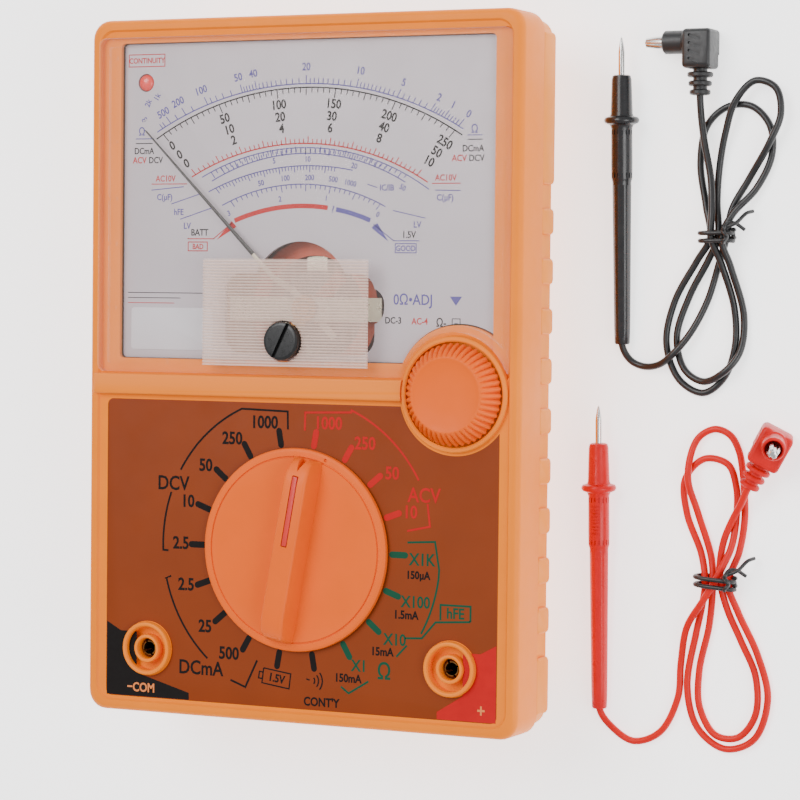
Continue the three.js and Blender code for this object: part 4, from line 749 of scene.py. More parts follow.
brackets = {
    "black": ([(-2.3, -12.5), (-2.4, -8.7), (-13.4, -8.4)] + arc(AROUND, BRACKET, -24.5, -60.5),
              arc(AROUND, BRACKET, -70, -92.7) + [(-31.1, -39.5)],
              [(-30.4, -45), (-31.6, -45.5)] + arc(AROUND, BRACKET, -103.6, -138.9),
              [(-15.6, -66.6), (-12, -67.9), (-9.2, -62)]),
    "red": ([(1.7, -12.6), (1.8, -8.8), (12.6, -8.5)] + arc(AROUND, BRACKET, 23, 61),
            [(30.4, -27), (31, -31.7), (25.8, -32.8)]),
    "green": ([(25.9, -35.2), (32.2, -34.8), (33.2, -40.6)] + arc(AROUND, BRACKET + 1, 98, 119),
              [(26, -56.7), (23.6, -59.2)], [(17.2, -64.8), (12.6, -67.6), (10.8, -66.3)],
              [(25.6, -55.2), (29.4, -55), (32.5, -51.5), (40.4, -51)],
              [(33.6, -51), (33.6, -47.8), (40.4, -47.8), (40.4, -51)])}
for colour, rows in brackets.items():
    for row in rows:
        stroke(inks[colour], row, LINE, PANEL_TOP)
# a battery sign and a sound sign beside the two lowest switch places
for row in ([(-7.6, -63.5), (-1.1, -64.4), (-1.5, -67.6), (-8.0, -66.7), (-7.6, -63.5)],
            [(-7.8, -64.4), (-8.6, -64.3), (-8.8, -65.7), (-8.0, -65.8)], [(2.6, -65.2), (3.4, -65.4)]):
    stroke(ink_black, row, 0.28, PANEL_TOP)
for radius in (1.0, 1.9, 2.8):
    stroke(ink_black, arc((3.6, -65.5), radius, 50, 130, 8), 0.3, PANEL_TOP)
for colour, side_x in (("black", -1), ("red", 1)):
    inner = 33.0 if side_x > 0 else 25.8
    outline = [(side_x * 46.3, -55.6), (side_x * 42.8, -57.5), (side_x * 38.8, -57.5), (side_x * 38.8, -66.5),
               (side_x * inner, -70.1), (side_x * inner, -71.6), (side_x * 46.3, -71.6)]
    patch(inks[colour], outline, PANEL_TOP, 0.02)
for colour, shape, ink_look in (("black", ink_black, black_ink), ("red", ink_red, red_ink),
                                ("green", ink_green, green_ink), ("tan", ink_tan, tan_ink)):
    if colour == "tan":
        shift(shape, z=0.025)
    piece(f"panel_print_{colour}", shape, ink_look, "meter_case", "panel_print")

# ---------------------------------------------------------------- range switch knob
# The range knob is one amber ABS moulding: a flat disc with a raised grip bar across it. A red
# insert in the bar points at the marks, and the bar's tip ends in two prongs.
KNOB_TURN = -10
DISC_LOW, DISC_TOP = 31.8, 33.0
knob_abs = finish("amber_knob_abs", (0.80, 0.112, 0.0), 0.42, mottle=0.025, edge_highlight=0.02, depth=0.002,
                  Specular_IOR_Level=0.16)
dial = turned([(0, DISC_LOW), (21.45, DISC_LOW), (21.6, 31.95), (21.6, 32.4), (21.45, 32.75), (21.1, 32.97),
               (20.9, DISC_TOP), (19.9, DISC_TOP), (19.8, 32.7), (19.6, 32.7), (19.5, DISC_TOP),
               (0, DISC_TOP)],
              sides=160)
sections = []
for along, height, half_top in ((-19.6, 1.2, 1.9), (-19.3, 2.4, 2.3), (-18.6, 3.5, 2.5), (-17.2, 4.4, 2.65),
                                (-15.2, 4.9, 2.7), (-13, 5, 2.7), (0, 5, 2.7), (14.5, 5, 2.7),
                                (16.4, 4.75, 2.65),
                                (18.0, 4.0, 2.5), (19.0, 3.1, 2.3), (19.5, 2.2, 2.2), (19.7, 1.3, 2.1)):
    foot, bend = 3.5 - 0.5 * (2.7 - half_top), min(0.75, height / 3)
    row = [(-foot, -0.4), (foot, -0.4), (foot - 0.05, 0.4)]
    for turn in range(10, 91, 20):
        angle = math.radians(turn)
        row.append((half_top - bend + bend * math.cos(angle), height - bend + bend * math.sin(angle)))
    row += [(-x, z) for x, z in reversed(row[3:])] + [(-foot + 0.05, 0.4)]
    sections.append([Vector((x, along, DISC_TOP + z)) * MM for x, z in row])
grip = loft(sections)
notch = loft([[Vector((x, y, level)) * MM for x, y in ((0, 17.2), (1.15, 20.5), (-1.15, 20.5))]
              for level in (33.6, 40)])
grip = cut_away(grip, notch, slab(-0.72, 0.72, 1.05, 16.3, 37.2, 39, 0.2, brow=0, steps=3))
dial = combine(dial, grip)
dial = join_on(dial, turned([(0, 24.1), (4.5, 24.1), (4.5, 31.9), (0, 31.9)], sides=48))
dial = cut_away(dial, turned([(0, 20), (1.7, 20), (1.7, 31.1), (0, 31.1)], sides=32))
arrow_pit = shift(shift(slab(-0.35, 0.35, -0.35, 0.35, 32.6, 34, 0.2, brow=0, steps=3), y=20.6), turn=-11)
dial = cut_away(dial, arrow_pit)
piece("range_dial", shift(dial, y=RANGE_Y, turn=KNOB_TURN), knob_abs, "range_switch", "amber_knob",
      "range_knob")
insert = slab(-0.55, 0.55, 1.2, 16.1, 37.2, 38.05, 0.2, brow=0.12, steps=3)
red_abs_insert = finish("red_insert_abs", shade(205, 38, 30), 0.35, cloud=3, grain=0.2, depth=0.003)
piece("red_pointer_insert", shift(insert, y=RANGE_Y, turn=KNOB_TURN), red_abs_insert, "range_switch",
      "red_insert",
      "range_pointer")

# ---------------------------------------------------------------- ohm zero knob
# The ohm zero knob is pressed onto its control's shaft. Fine flutes widen down its sloping side,
# and its face is slightly dished.
RIDGES = 46
STEPS_PER_RIDGE = 8
ohm_rows = ((10.3, 32.05, 0.0), (10.7, 32.25, 0.7), (10.65, 32.7, 0.95), (10.1, 34.0, 0.85),
            (9.35, 35.2, 0.7),
            (8.65, 36.0, 0.5), (8.15, 36.4, 0.26), (7.85, 36.58, 0.06), (7.6, 36.6, 0), (7.3, 36.5, 0),
            (6.6, 36.32, 0), (3.5, 36.16, 0))
ohm = bmesh.new()
rings = []
for radius, height, flute in ohm_rows:
    ring_row = []
    for step in range(RIDGES * STEPS_PER_RIDGE):
        turn = 2 * math.pi * step / (RIDGES * STEPS_PER_RIDGE)
        swell = 0.5 + 0.5 * math.cos(2 * math.pi * step / STEPS_PER_RIDGE)
        reach_out = radius - flute * (1 - swell ** 0.42)
        ring_row.append(ohm.verts.new(Vector((OHM_X + reach_out * math.cos(turn),
                                              OHM_Y + reach_out * math.sin(turn),
                                              height)) * MM))
    rings.append(ring_row)
for low, high in zip(rings, rings[1:]):
    for step in range(len(low)):
        following = (step + 1) % len(low)
        ohm.faces.new((low[step], low[following], high[following], high[step]))
for rim, level in ((rings[0], 32.05), (rings[-1], 36.14)):
    middle = ohm.verts.new(Vector((OHM_X, OHM_Y, level)) * MM)
    for step in range(len(rim)):
        ohm.faces.new((rim[step], rim[(step + 1) % len(rim)], middle))
piece("ohm_zero_dial", ohm, knob_abs, "ohm_adjuster", "amber_knob", "ohm_zero_knob", smooth=40)

# ---------------------------------------------------------------- test sockets
# Each socket is a rolled brass sleeve split into four sprung leaves. Dull and dark with age, it
# stands in the bore of its ring.
sleeve_brass = finish("dull_brass", shade(120, 84, 46), 0.4, metal=1.0, mottle=0.2, cloud=0.8, grain=0.1,
                      depth=0.01)
for colour, side_x in (("black", -1), ("red", 1)):
    sleeve = turned([(1.5, 18.6), (2.05, 18.6), (2.05, 30.4), (1.55, 30.9), (1.35, 30.9), (1.4, 30.2),
                     (1.5, 28)],
                    sides=48)
    for step in range(4):
        gap_cut = slab(-0.22, 0.22, 0.6, 3, 24, 32, 0.1, brow=0, steps=1)
        sleeve = cut_away(sleeve, shift(gap_cut, turn=90 * step + 25))
    piece(f"{colour}_socket", shift(sleeve, side_x * JACK_X, JACK_Y), sleeve_brass, "meter_case", "brass",
          f"{colour}_jack_sleeve")

# ---------------------------------------------------------------- scale plate and its print
# The scale plate is a pale painted sheet. Its scales are printed in black, red and violet, and
# a low opening with an arch above it shows the movement.
PIVOT_X, PIVOT_Y = middle_of("upper_jewel_screw")
LED_X, LED_Y = middle_of("continuity_led")
paint = finish("pale_scale_paint", shade(184, 173, 178), 0.42, mottle=0.02, cloud=18, grain=0.4, depth=0.002)
violet_ink = finish("violet_ink", shade(66, 48, 134), 0.5, cloud=3, grain=0.2, depth=0.002)
ARCH_X, ARCH_Y = -1, 15.7
plate = slab(-PLATE_HALF, PLATE_HALF, PLATE_FRONT, PLATE_BACK, PLATE_UNDER, PLATE_FACE, 1.0, foot=0.1,
             brow=0.12)
plate = cut_away(plate, slab(-19, 16.6, 3.2, 20.6, 27, 31, 4, brow=0),
                 slab(10, 18.8, 9.8, 17.6, 27, 31, 3.4, brow=0),
                 turned([(0, 27), (11.6, 27), (11.6, 31), (0, 31)], ARCH_X, ARCH_Y),
                 turned([(0, 27), (14.6, 27), (14.6, 31), (0, 31)], OHM_X, OHM_Y),
                 turned([(0, 27), (1.95, 27), (1.95, 31), (0, 31)], LED_X, LED_Y, 48))
piece("scale_sheet", plate, paint, "meter_case", "scale_print", "scale_plate")
inks = {"black": bmesh.new(), "red": bmesh.new(), "violet": bmesh.new()}


def on_ray(bearing, centre, radius):
    """The point where a ray from the pointer's pivot meets a circle."""
    way = Vector((math.sin(math.radians(bearing)), math.cos(math.radians(bearing))))
    start = Vector((PIVOT_X - centre[0], PIVOT_Y - centre[1]))
    along = start.dot(way)
    reach_out = -along + math.sqrt(along * along - start.length_squared + radius * radius)
    return (PIVOT_X + way.x * reach_out, PIVOT_Y + way.y * reach_out)


def scale(colour, centre, radius, start, end, width, ticks):
    """A printed arc with its ticks; each tick is a bearing from the pivot and a signed length."""
    stroke(inks[colour], arc(centre, radius, start, end), width, PLATE_FACE)
    for bearing, length in ticks:
        stroke(inks[colour], [on_ray(bearing, centre, radius), on_ray(bearing, centre, radius + length)],
               0.22, PLATE_FACE)


def follow(colour, text, centre, radius, bearing, height, bold=0.05):
    """A number that follows an arc, set at a bearing from the pivot."""
    x, y = on_ray(bearing, centre, radius)
    lean = math.degrees(math.atan2(x - centre[0], y - centre[1]))
    words(inks[colour], text, x, y, height, PLATE_FACE, lean, bold=bold)


SWEEP = 42.8
VOLT_CENTRE, OHM_CENTRE, AC_CENTRE = (0, -8.0), (0, -10.7), (-0.7, -7.1)
scale("black", VOLT_CENTRE, 67.8, -32.3, 32.3, 0.3,
      [(-SWEEP + 2 * SWEEP * at / 50, -2.0 if at % 10 == 0 else -1.6 if at % 5 == 0 else -1.1)
       for at in range(51)])
for at, row in enumerate((("0", "0", "0"), ("50", "10", "2"), ("100", "20", "4"), ("150", "30", "6"),
                          ("200", "40", "8"), ("250", "50", "10"))):
    for text, radius in zip(row, (64.6, 62.0, 59.5)):
        follow("black", text, VOLT_CENTRE, radius, -SWEEP + 2 * SWEEP * at / 5, 1.9, 0.08)


def ohm_bearing(ohms):
    return SWEEP - 2 * SWEEP * ohms / (ohms + 20)


ohm_marks = ([at / 5 for at in range(10)] + [2 + at / 2 for at in range(16)] + list(range(10, 20))
             + list(range(20, 50, 2)) + list(range(50, 100, 10)) + [100, 150, 200, 300, 500, 1000, 2000])
scale("violet", OHM_CENTRE, 71.3, -30.4, 30.8, 0.26,
      [(ohm_bearing(ohms), 1.8 if ohms in (0, 1, 2, 5, 10, 20, 40, 50, 100, 200, 500) else 1.2)
       for ohms in ohm_marks])
for text, ohms, lift in (("0", 0, 3.3), ("1", 1, 3.3), ("2", 2, 3.3), ("5", 5, 3.4), ("10", 10, 3.6),
                         ("20", 20, 3.6),
                         ("40", 40, 3.5), ("50", 50, 3.5), ("100", 100, 3.5), ("200", 200, 3.4),
                         ("500", 500, 3.0)):
    follow("violet", text, OHM_CENTRE, 71.3 + lift, ohm_bearing(ohms), 1.6)
scale("red", AC_CENTRE, 55.1, -29, 32, 0.3,
      [(-SWEEP + 2 * SWEEP * (at / 50) ** 0.97, 1.5 if at % 5 == 0 else 1.0) for at in range(51)])
scale("violet", (-0.4, -5.1), 52.2, -28, 34, 0.24,
      [(-38 + 1.9 * at, -0.9 if at % 5 else -1.5) for at in range(42)])
scale("violet", (0, -1.1), 47.0, -28.6, 29.8, 0.24,
      [(-34 + 2.0 * at, 0.9 if at % 5 else 1.5) for at in range(35)])
scale("violet", (0.4, -11.1), 54.4, -25.8, 11.4, 0.24,
      [(-40 + 1.4 * at, -0.9 if at % 5 else -1.4) for at in range(39)])
scale("violet", (-0.9, -3.6), 43.0, -26.3, 27.3, 0.24,
      [(-38 + 2.55 * at, -0.9 if at % 5 else -1.5) for at in range(31)])
BATTERY_CENTRE, BATTERY_RADIUS = (-0.7, -8.8), 43.6
stroke(inks["red"], arc(BATTERY_CENTRE, BATTERY_RADIUS, -21.8, 8), 1.0, PLATE_FACE)
stroke(inks["violet"], arc(BATTERY_CENTRE, BATTERY_RADIUS, 10.6, 21.6), 1.0, PLATE_FACE)
for colour, text, x, y, height, turn in (
        ("violet", "2k", -38.4, 57.1, 1.3, -66), ("violet", "1k", -36.2, 58.4, 1.3, -62),
        ("violet", "∞", -39.3, 53.6, 1.3, -30), ("violet", "Ω", -39.9, 51.0, 1.7, 0),
        ("violet", "Ω", 39.0, 50.6, 1.7, 0), ("black", "DCmA", -39.3, 46.8, 1.35, 0),
        ("black", "DCmA", 38.7, 46.6, 1.35, 0), ("red", "ACV", -40.4, 44.8, 1.35, 0),
        ("red", "ACV", 35.6, 44.6, 1.35, 0), ("black", "DCV", -36.4, 44.8, 1.35, 0),
        ("black", "DCV", 39.5, 44.6, 1.35, 0), ("red", "AC10V", -33.9, 40.8, 1.3, 0),
        ("red", "AC10V", 32.6, 40.6, 1.3, 0), ("violet", "C(µF)", -34.1, 36.8, 1.3, 0),
        ("violet", "C(µF)", 32.5, 36.5, 1.3, 0), ("violet", "hFE", -30.6, 33.6, 1.3, 0),
        ("violet", "LV", -28.5, 30.6, 1.3, 0), ("violet", "LV", 26.2, 30.9, 1.3, 0),
        ("black", "BATT", -25.4, 29.2, 1.4, 0), ("red", "BAD", -25.8, 26.15, 1.1, 0),
        ("black", "1.5V", 24.3, 28.8, 1.4, 0), ("violet", "GOOD", 23.6, 25.95, 1.15, 0),
        ("violet", "5", -7.5, 44.4, 1.15, -8), ("violet", "10", 0.5, 44.7, 1.15, 0),
        ("violet", "20", 11.5, 43.2, 1.15, 13), ("violet", "50", 22.8, 38.6, 1.15, 28),
        ("violet", "50", -10.6, 39.7, 1.15, -12), ("violet", "100", -4.8, 40.7, 1.15, -5),
        ("violet", "200", 1.0, 40.8, 1.15, 0), ("violet", "500", 6.6, 40.4, 1.15, 7),
        ("violet", "1000", 10.6, 39.6, 1.15, 11), ("violet", "IC/IB", 19.1, 38.6, 1.3, 0),
        ("violet", "3", -18.3, 33.3, 1.15, -22), ("violet", "2", -6, 36.3, 1.15, -7),
        ("violet", "1", 5, 36.4, 1.15, 7), ("violet", "0", 17.1, 33.0, 1.15, 24),
                                         ("violet", "?", 6.6, 34.1, 1.5, 10),
        ("red", "CONTINUITY", -38.75, 66.3, 1.15, 0), ("violet", "0Ω•ADJ", 25.4, 15.3, 2.2, 0),
        ("black", "DC-3", 20.9, 10.9, 1.35, 0), ("red", "AC-4", 27.0, 10.8, 1.35, 0),
        ("black", "Ω-", 31.9, 10.6, 1.7, 0)):
    words(inks[colour], text, x, y, height, PLATE_FACE, turn, bold=0.035)
for colour, width, rows in (
        ("black", 0.2, ([(-41.4, 48.4), (-37.2, 48.4)], [(37.4, 48.4), (40.8, 48.4)],
                        [(-28.3, 27.9), (-28.1, 27.9)])),
        ("violet", 0.2, ([(-41.4, 49.4), (-36.9, 49.4)], [(37.4, 49.3), (40.8, 49.3)],
                         [(-37.4, 38.3), (-29.4, 39.0)],
                         [(36.0, 37.9), (30.2, 38.0)], [(-32.4, 35.3), (-25.5, 37.4)],
                         [(-30.2, 32.0), (-22.2, 34.5)],
                         [(28.1, 32.2), (20.6, 33.8)], [(20.6, 27.5), (26.8, 27.5)],
                         [(20.8, 27.5), (16.0, 31.0)],
                         [(14.6, 39.3), (16.9, 38.6)],
                         [(21.2, 26.9), (26.0, 26.9), (26.0, 25.0), (21.2, 25.0), (21.2, 26.9)])),
        ("red", 0.2, ([(-37.4, 39.6), (-28.6, 39.6)], [(36.0, 39.4), (29.4, 39.4)],
                      [(-28.4, 27.8), (-21.8, 27.8)],
                      [(-22.0, 27.8), (-17.4, 31.3)],
                      [(-28.2, 27.1), (-23.5, 27.1), (-23.5, 25.2), (-28.2, 25.2), (-28.2, 27.1)],
                      [(-43.2, 67.6), (-34.3, 67.6), (-34.3, 65.0), (-43.2, 65.0), (-43.2, 67.6)])),
        ("black", 0.16, ([(34.4, 11.4), (36.2, 11.4), (36.2, 8.6), (34.4, 8.6), (34.4, 11.4)],
                         [(34.9, 10.4), (35.7, 10.4)], [(-43.1, 16.1), (-23.6, 16.1)],
                         [(-43.1, 15.0), (-30.0, 15.0)]))):
    for row in rows:
        stroke(inks[colour], row, width, PLATE_FACE)
patch(inks["violet"], [(33.8, 16.0), (35.2, 14.1), (36.6, 16.0)], PLATE_FACE)
patch(inks["violet"], [(19.6, 27.3), (17.0, 31.2), (15.6, 30.2)], PLATE_FACE)
patch(inks["red"], [(-21.2, 27.6), (-17.6, 31.6), (-16.4, 30.4)], PLATE_FACE)
stroke(inks["red"], [(-43.1, 13.9), (-31.5, 13.9)], 0.16, PLATE_FACE)
for colour, shape, look in (("black", inks["black"], black_ink), ("red", inks["red"], red_ink),
                            ("violet", inks["violet"], violet_ink)):
    piece(f"scale_print_{colour}", shape, look, "meter_case", "scale_print")
label_paper = finish("blank_label_paper", shade(202, 196, 200), 0.5, mottle=0.02, cloud=6, grain=0.3,
                     depth=0.004)
piece("blank_label", slab(-42.2, -21.9, 3.8, 12.9, PLATE_FACE, 29.12, 0.8, brow=0.05), label_paper,
      "meter_case",
      "scale_print")

# ---------------------------------------------------------------- continuity light
# The continuity light is a round-ended red LED that looks out through a hole in the plate, and its epoxy
# carries a faint painted glow.
# painted glow: a weak red emission on an LED that is not lit
led_red_painted_glow = finish("red_led_epoxy_painted_glow", shade(222, 48, 36), 0.25, cloud=2, grain=0.2, depth=0.002, Coat_Weight=0.4,
                 Emission_Color=shade(222, 40, 30), Emission_Strength=0.12)
led_rows = [(0, 20.0), (1.8, 20.0), (1.8, 28.5)]
led_rows += [(1.8 * math.cos(math.radians(turn)), 28.5 + 1.1 * math.sin(math.radians(turn)))
             for turn in range(15, 90, 15)] + [(0, 29.6)]
piece("red_light", turned(led_rows, LED_X, LED_Y, 48), led_red_painted_glow, "meter_case", "red_led", "continuity_led")

# ---------------------------------------------------------------- pointer and movement
# A fine blackened needle with a bare pale root turns with the coil. The iron ring, the bridge,
# the clamps and the hairsprings of the movement stand under the arch.
needle_black = finish("needle_black_paint", shade(40, 34, 32), 0.45, cloud=2, grain=0.1, depth=0.001)
needle_pale = finish("needle_cream_root", shade(214, 200, 176), 0.4, cloud=2, grain=0.1, depth=0.001)
REST_TURN = 45
NEEDLE_LOW = 30.4


def needle(rows):
    """A flat needle from rows of distance along it, half its width, its lowest height and its thickness."""
    loops = []
    for along, half, low, thick in rows:
        bend = min(0.08, thick / 4)
        outline = ((-half, low + bend), (-half * 0.6, low), (half * 0.6, low), (half, low + bend),
                   (half, low + thick - bend), (half * 0.6, low + thick), (-half * 0.6, low + thick),
                   (-half, low + thick - bend))
        loops.append([Vector((x, along, level)) * MM for x, level in outline])
    return loft(loops)


root = needle([(-8.5, 0.75, 26.2, 0.6), (-4.5, 0.8, 26.2, 0.6), (-3.6, 0.5, 26.25, 0.6), (0, 0.7, 26.3, 0.6),
               (5.5, 0.75, 26.32, 0.6), (5.9, 0.75, 26.6, 0.62), (9.2, 0.6, NEEDLE_LOW - 0.3, 0.55),
               (9.7, 0.55, NEEDLE_LOW, 0.4), (13, 0.46, NEEDLE_LOW, 0.4), (16.4, 0.38, NEEDLE_LOW, 0.4)])
hub = turned([(0, 25.95), (1.45, 25.95), (1.6, 26.1), (1.6, 26.8), (1.45, 26.9), (0.45, 26.95), (0.45, 27.3),
              (0, 27.35)], sides=48)
piece("pointer_root", shift(combine(root, hub), PIVOT_X, PIVOT_Y, turn=REST_TURN), needle_pale,
      "pointer_coil",
      "cream_plastic", "pointer")
blade = needle([(16.3, 0.42, NEEDLE_LOW, 0.4), (16.6, 0.44, NEEDLE_LOW, 0.4), (30, 0.32, NEEDLE_LOW, 0.4),
                (53.6, 0.15, NEEDLE_LOW, 0.36), (54.0, 0.05, NEEDLE_LOW, 0.34)])
piece("pointer_blade", shift(blade, PIVOT_X, PIVOT_Y, turn=REST_TURN), needle_black, "pointer_coil",
      "cream_plastic")
movement_looks = {
    "yoke_ring": finish("copper_lacquered_iron", shade(196, 78, 40), 0.4, metal=0.25, mottle=0.12, cloud=4),
    "movement_base": finish("red_brown_base", shade(176, 70, 42), 0.45, mottle=0.1, cloud=5),
    "core_magnet": finish("cast_magnet", shade(92, 88, 86), 0.5, metal=0.7, mottle=0.2, cloud=2, depth=0.02),
    "upper_bridge": finish("pale_bridge_brass", shade(206, 196, 172), 0.3, metal=0.8, cloud=3),
    "moving_coil": finish("enamelled_copper", shade(150, 66, 34), 0.3, metal=0.8, mottle=0.15, cloud=0.5,
                          grain=0.1,
                          depth=0.02)}
movement_looks["core_clamp_1"] = movement_looks["core_clamp_2"] = movement_looks["upper_bridge"]
hair_bronze = finish("hairspring_bronze", shade(196, 140, 84), 0.3, metal=1.0, cloud=1, grain=0.1)
for node in ("upper_hairspring", "lower_hairspring", "upper_jewel_screw", "lower_jewel_screw"):
    movement_looks[node] = hair_bronze

# ---------------------------------------------------------------- zero adjuster
# A black slotted screw head sits over the window. Its crank pin moves a small brass arm that
# shifts the upper hairspring and so the pointer's resting place.
ZERO_X, ZERO_Y = middle_of("zero_screw")
ZERO_THROW = 1
head_black = finish("black_screw_abs", shade(16, 16, 17), 0.3, cloud=3, grain=0.2, depth=0.004)
zero_head = turned([(0, 29.8), (1.8, 29.8), (1.8, 33.5), (3.95, 33.5), (4.08, 33.65),
                    (4.08, 34.7), (3.95, 35.02), (3.65, 35.18), (3.3, 35.2), (0, 35.2)], sides=96)
zero_slot = slab(-0.42, 0.42, -5, 5, 34.3, 36, 0.1, brow=0, steps=1)
zero_head = cut_away(zero_head, shift(zero_slot, turn=-26))
from_pivot = Vector((ZERO_X - PIVOT_X, ZERO_Y - PIVOT_Y)).normalized() * ZERO_THROW
zero_head = join_on(zero_head, turned([(0, 28.8), (0.4, 28.8), (0.5, 28.9), (0.5, 30.1), (0, 30.1)],
                                      from_pivot.x, from_pivot.y, 24))
piece("zero_screw_head", shift(zero_head, ZERO_X, ZERO_Y), head_black, "zero_adjuster", "black_plastic",
      "zero_screw")
movement_looks["zero_arm"] = hair_bronze

# ---------------------------------------------------------------- window
# One clear styrene moulding covers the scale. It has a skirt all round, small moulding ribs at
# its foot, and a curved bay round the ohm zero knob.
clear = bpy.data.materials.new("clear_styrene")
clear.use_nodes = True


def see_through(material, tint, face_alpha, edge_alpha, roughness, haze, lines=None):
    """Clear plastic: nearly unseen face on, paler at a slant as a painted reflection, and faintly streaked by
    moulding.
    """
    tree = material.node_tree
    shader = tree.nodes["Principled BSDF"]
    shader.inputs["IOR"].default_value = 1.58
    shader.inputs["Roughness"].default_value = roughness
    place = tree.nodes.new("ShaderNodeTexCoord")
    stretch = tree.nodes.new("ShaderNodeMapping")
    stretch.inputs["Scale"].default_value = (1, 0.12, 1)
    flow = tree.nodes.new("ShaderNodeTexNoise")
    flow.inputs["Scale"].default_value = 700
    tree.links.new(place.outputs["Object"], stretch.inputs["Vector"])
    tree.links.new(stretch.outputs["Vector"], flow.inputs["Vector"])
    warm = tree.nodes.new("ShaderNodeMapRange")
    warm.inputs["To Min"].default_value = 0.0
    warm.inputs["To Max"].default_value = haze
    tree.links.new(flow.outputs["Fac"], warm.inputs["Value"])
    # painted reflection: the pale tint grows more opaque towards a grazing view
    slant = tree.nodes.new("ShaderNodeLayerWeight")
    slant.inputs["Blend"].default_value = 0.5
    steep = tree.nodes.new("ShaderNodeMath")
    steep.operation = "POWER"
    steep.inputs[1].default_value = 4
    tree.links.new(slant.outputs["Facing"], steep.inputs[0])
    rise = tree.nodes.new("ShaderNodeMapRange")
    rise.inputs["To Min"].default_value = face_alpha
    rise.inputs["To Max"].default_value = edge_alpha
    tree.links.new(steep.outputs["Value"], rise.inputs["Value"])
    total = tree.nodes.new("ShaderNodeMath")
    total.operation = "ADD"
    total.use_clamp = True
    tree.links.new(rise.outputs["Result"], total.inputs[0])
    tree.links.new(warm.outputs["Result"], total.inputs[1])
    veil = total.outputs["Value"]
    if lines:
        rule = tree.nodes.new("ShaderNodeTexWave")
        rule.bands_direction = "Y"
        rule.inputs["Scale"].default_value = math.pi / (10 * lines * MM)
        rule.inputs["Distortion"].default_value = 0.15
        tree.links.new(place.outputs["Object"], rule.inputs["Vector"])
        layer = tree.nodes.new("ShaderNodeMath")
        layer.operation = "MULTIPLY_ADD"
        layer.use_clamp = True
        layer.inputs[1].default_value = 0.42
        tree.links.new(rule.outputs["Fac"], layer.inputs[0])
        tree.links.new(veil, layer.inputs[2])
        veil = layer.outputs["Value"]
    tree.links.new(veil, shader.inputs["Alpha"])
    ramp = tree.nodes.new("ShaderNodeValToRGB")
    ramp.color_ramp.elements[0].color = tint
    ramp.color_ramp.elements[1].color = tuple(min(1, channel * 1.06) for channel in tint[:3]) + (1,)
    tree.links.new(flow.outputs["Fac"], ramp.inputs["Fac"])
    tree.links.new(ramp.outputs["Color"], shader.inputs["Base Color"])
    bump = tree.nodes.new("ShaderNodeBump")
    bump.inputs["Distance"].default_value = 0.006 * MM
    tree.links.new(flow.outputs["Fac"], bump.inputs["Height"])
    tree.links.new(bump.outputs["Normal"], shader.inputs["Normal"])


see_through(clear, shade(255, 246, 240), 0.02, 0.5, 0.04, 0.015)
BAY = 12.9
BAY_WALL = 14.2


def pane_outline(inset, level):
    return rounded(-WINDOW_HALF + inset, WINDOW_HALF - inset, WINDOW_FRONT + inset, WINDOW_BACK - inset,
                   max(1.5 - inset, 0.5), level)


pane = loft([pane_outline(0, WINDOW_FOOT), pane_outline(0, 32.7), pane_outline(0.15, 33.05),
             pane_outline(0.5, WINDOW_TOP)])
pane = cut_away(pane, loft([pane_outline(1.8, 29), pane_outline(1.8, 31.5), pane_outline(2.1, 31.8)]))
bay = slab(WINDOW_HALF - 24, WINDOW_HALF - 0.3, WINDOW_FRONT + 0.3, 14, WINDOW_FOOT, 32.3, 0.3, brow=0)
bay_ring = combine(turned([(0, 29), (BAY_WALL, 29), (BAY_WALL, 34), (0, 34)], OHM_X, OHM_Y), bay, "INTERSECT")
pane = join_on(pane, bay_ring)
for step in range(7):
    left = -38 + 9.4 * step
    rib = slab(left, left + 6.2, 0.5, 2.1, 30.9, 31.9, 0.3, brow=0.2, steps=2)
    if left + 6.2 < OHM_X - BAY_WALL - 1:
        pane = join_on(pane, rib)
for side_x in (-1, 1):
    for y, tall in ((12.6, 0.5), (26.2, 0.9), (36.0, 0.7), (48.5, 0.5), (66.5, 0.8)):
        left, right = sorted((side_x * 44.6, side_x * 47.2))
        pane = join_on(pane, slab(left, right, y, y + tall, 31.0, 31.95, 0.2, brow=0.12, steps=2))
pane = cut_away(pane, turned([(0, 29), (BAY, 29), (BAY, 35), (0, 35)], OHM_X, OHM_Y),
                turned([(0, 29), (2.3, 29), (2.3, 35), (0, 35)], ZERO_X, ZERO_Y, 48))
piece("clear_window", pane, clear, "meter_case", "clear_window", "window")

# ---------------------------------------------------------------- ribbed strip
# A separate clear strip with fine raised ribs is stuck over the foot of the window, where it
# blurs the view of the movement.
(STRIP_LEFT, STRIP_FRONT, STRIP_LOW), (STRIP_RIGHT, STRIP_BACK, _) = box_of("ribbed_strip")
RIB_FOOT = 33.66
frosted = bpy.data.materials.new("frosted_ribbed_styrene")
frosted.use_nodes = True
RIB_COUNT = 36
rib_step = (STRIP_BACK - STRIP_FRONT) / RIB_COUNT
see_through(frosted, shade(250, 222, 208), 0.14, 0.6, 0.14, 0.10, lines=rib_step)
ridge_line = [(STRIP_FRONT, STRIP_LOW)]
for step in range(RIB_COUNT):
    start = STRIP_FRONT + step * rib_step
    ridge_line += [(start + part * rib_step, level) for part, level in
                   ((0, RIB_FOOT), (0.12, 33.9), (0.34, 34.04), (0.58, 33.95), (0.72, 33.7),
                    (0.76, RIB_FOOT))]
ridge_line += [(STRIP_BACK, RIB_FOOT), (STRIP_BACK, STRIP_LOW)]
strip = loft([[Vector((x, y, level)) * MM for y, level in ridge_line] for x in (STRIP_LEFT, STRIP_RIGHT)])
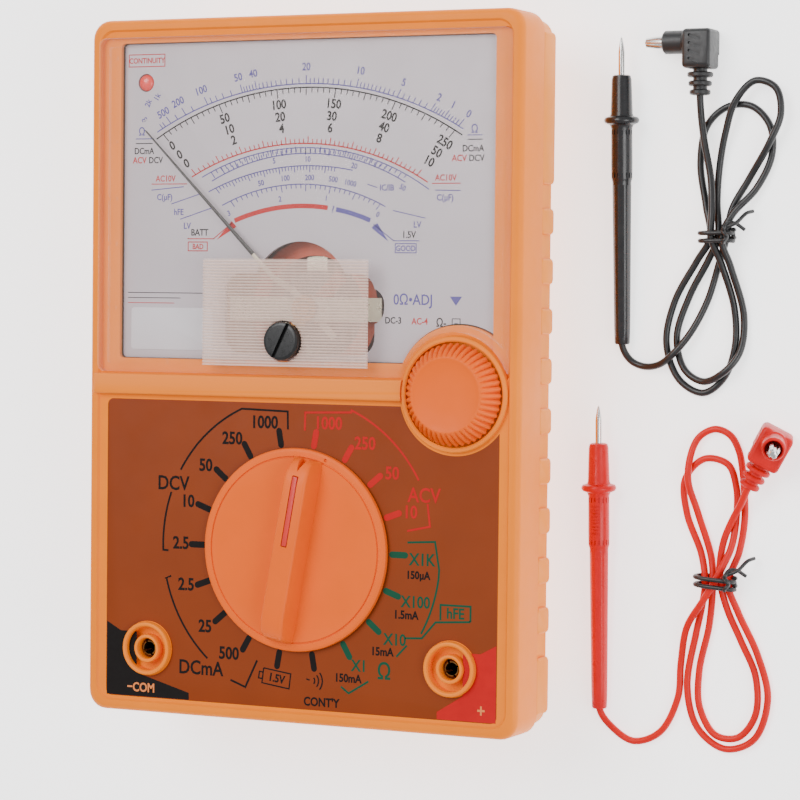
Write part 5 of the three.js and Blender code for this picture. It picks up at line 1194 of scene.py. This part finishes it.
strip = cut_away(strip, turned([(0, 33), (4.4, 33), (4.4, 35), (0, 35)], ZERO_X, ZERO_Y))
piece("ribbed_lens", strip, frosted, "meter_case", "clear_ribbed", "ribbed_strip", smooth=50)

# ---------------------------------------------------------------- parts inside the case
# The board, the fuse, the two cells and the switch parts keep their made shapes, and each kind
# is given its own finish.
inside_looks = {
    "circuit_board": finish("brown_phenolic_board", shade(136, 92, 44), 0.5, mottle=0.1, cloud=8),
    "potentiometer": finish("black_control_case", shade(34, 34, 36), 0.5, mottle=0.15, cloud=5),
    "pot_shaft": finish("white_nylon_shaft", shade(224, 222, 214), 0.45, mottle=0.03, cloud=4),
    "buzzer": finish("black_buzzer_case", shade(26, 26, 27), 0.45, mottle=0.2, cloud=4),
    "capacitor": finish("blue_can_sleeve", shade(34, 52, 104), 0.35, mottle=0.1, cloud=4),
    "battery_holder": finish("black_holder_abs", shade(32, 32, 33), 0.5, mottle=0.15, cloud=7),
    "fuse": finish("fuse_glass_tube", shade(196, 208, 206), 0.1, mottle=0.05, cloud=3),
    "knob_screw": finish("zinc_screw", shade(188, 186, 178), 0.3, metal=1.0, cloud=1.5),
    "detent_ball": finish("polished_steel_ball", shade(200, 200, 202), 0.12, metal=1.0, cloud=1)}
cell_wrap = finish("printed_cell_wrap", shade(42, 60, 118), 0.3, metal=0.4, mottle=0.12, cloud=7)
spring_steel = finish("bright_spring_steel", shade(190, 190, 190), 0.28, metal=1.0, cloud=1.5)
contact_brass = finish("contact_brass", shade(206, 164, 84), 0.3, metal=1.0, mottle=0.1, cloud=1.5)
for look, nodes in ((cell_wrap, ("cell_1", "cell_2")),
                    (spring_steel, ("cell_contact_1", "cell_contact_2", "detent_spring")),
                    (contact_brass, ("fuse_clip_1", "fuse_clip_2", "switch_brush_1", "switch_brush_2")),
                    (inside_looks["pot_shaft"], ("switch_rotor",))):
    for node in nodes:
        inside_looks[node] = look
for node, look in (movement_looks | inside_looks).items():
    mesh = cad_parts[node].data
    mesh.materials.clear()
    mesh.materials.append(look)
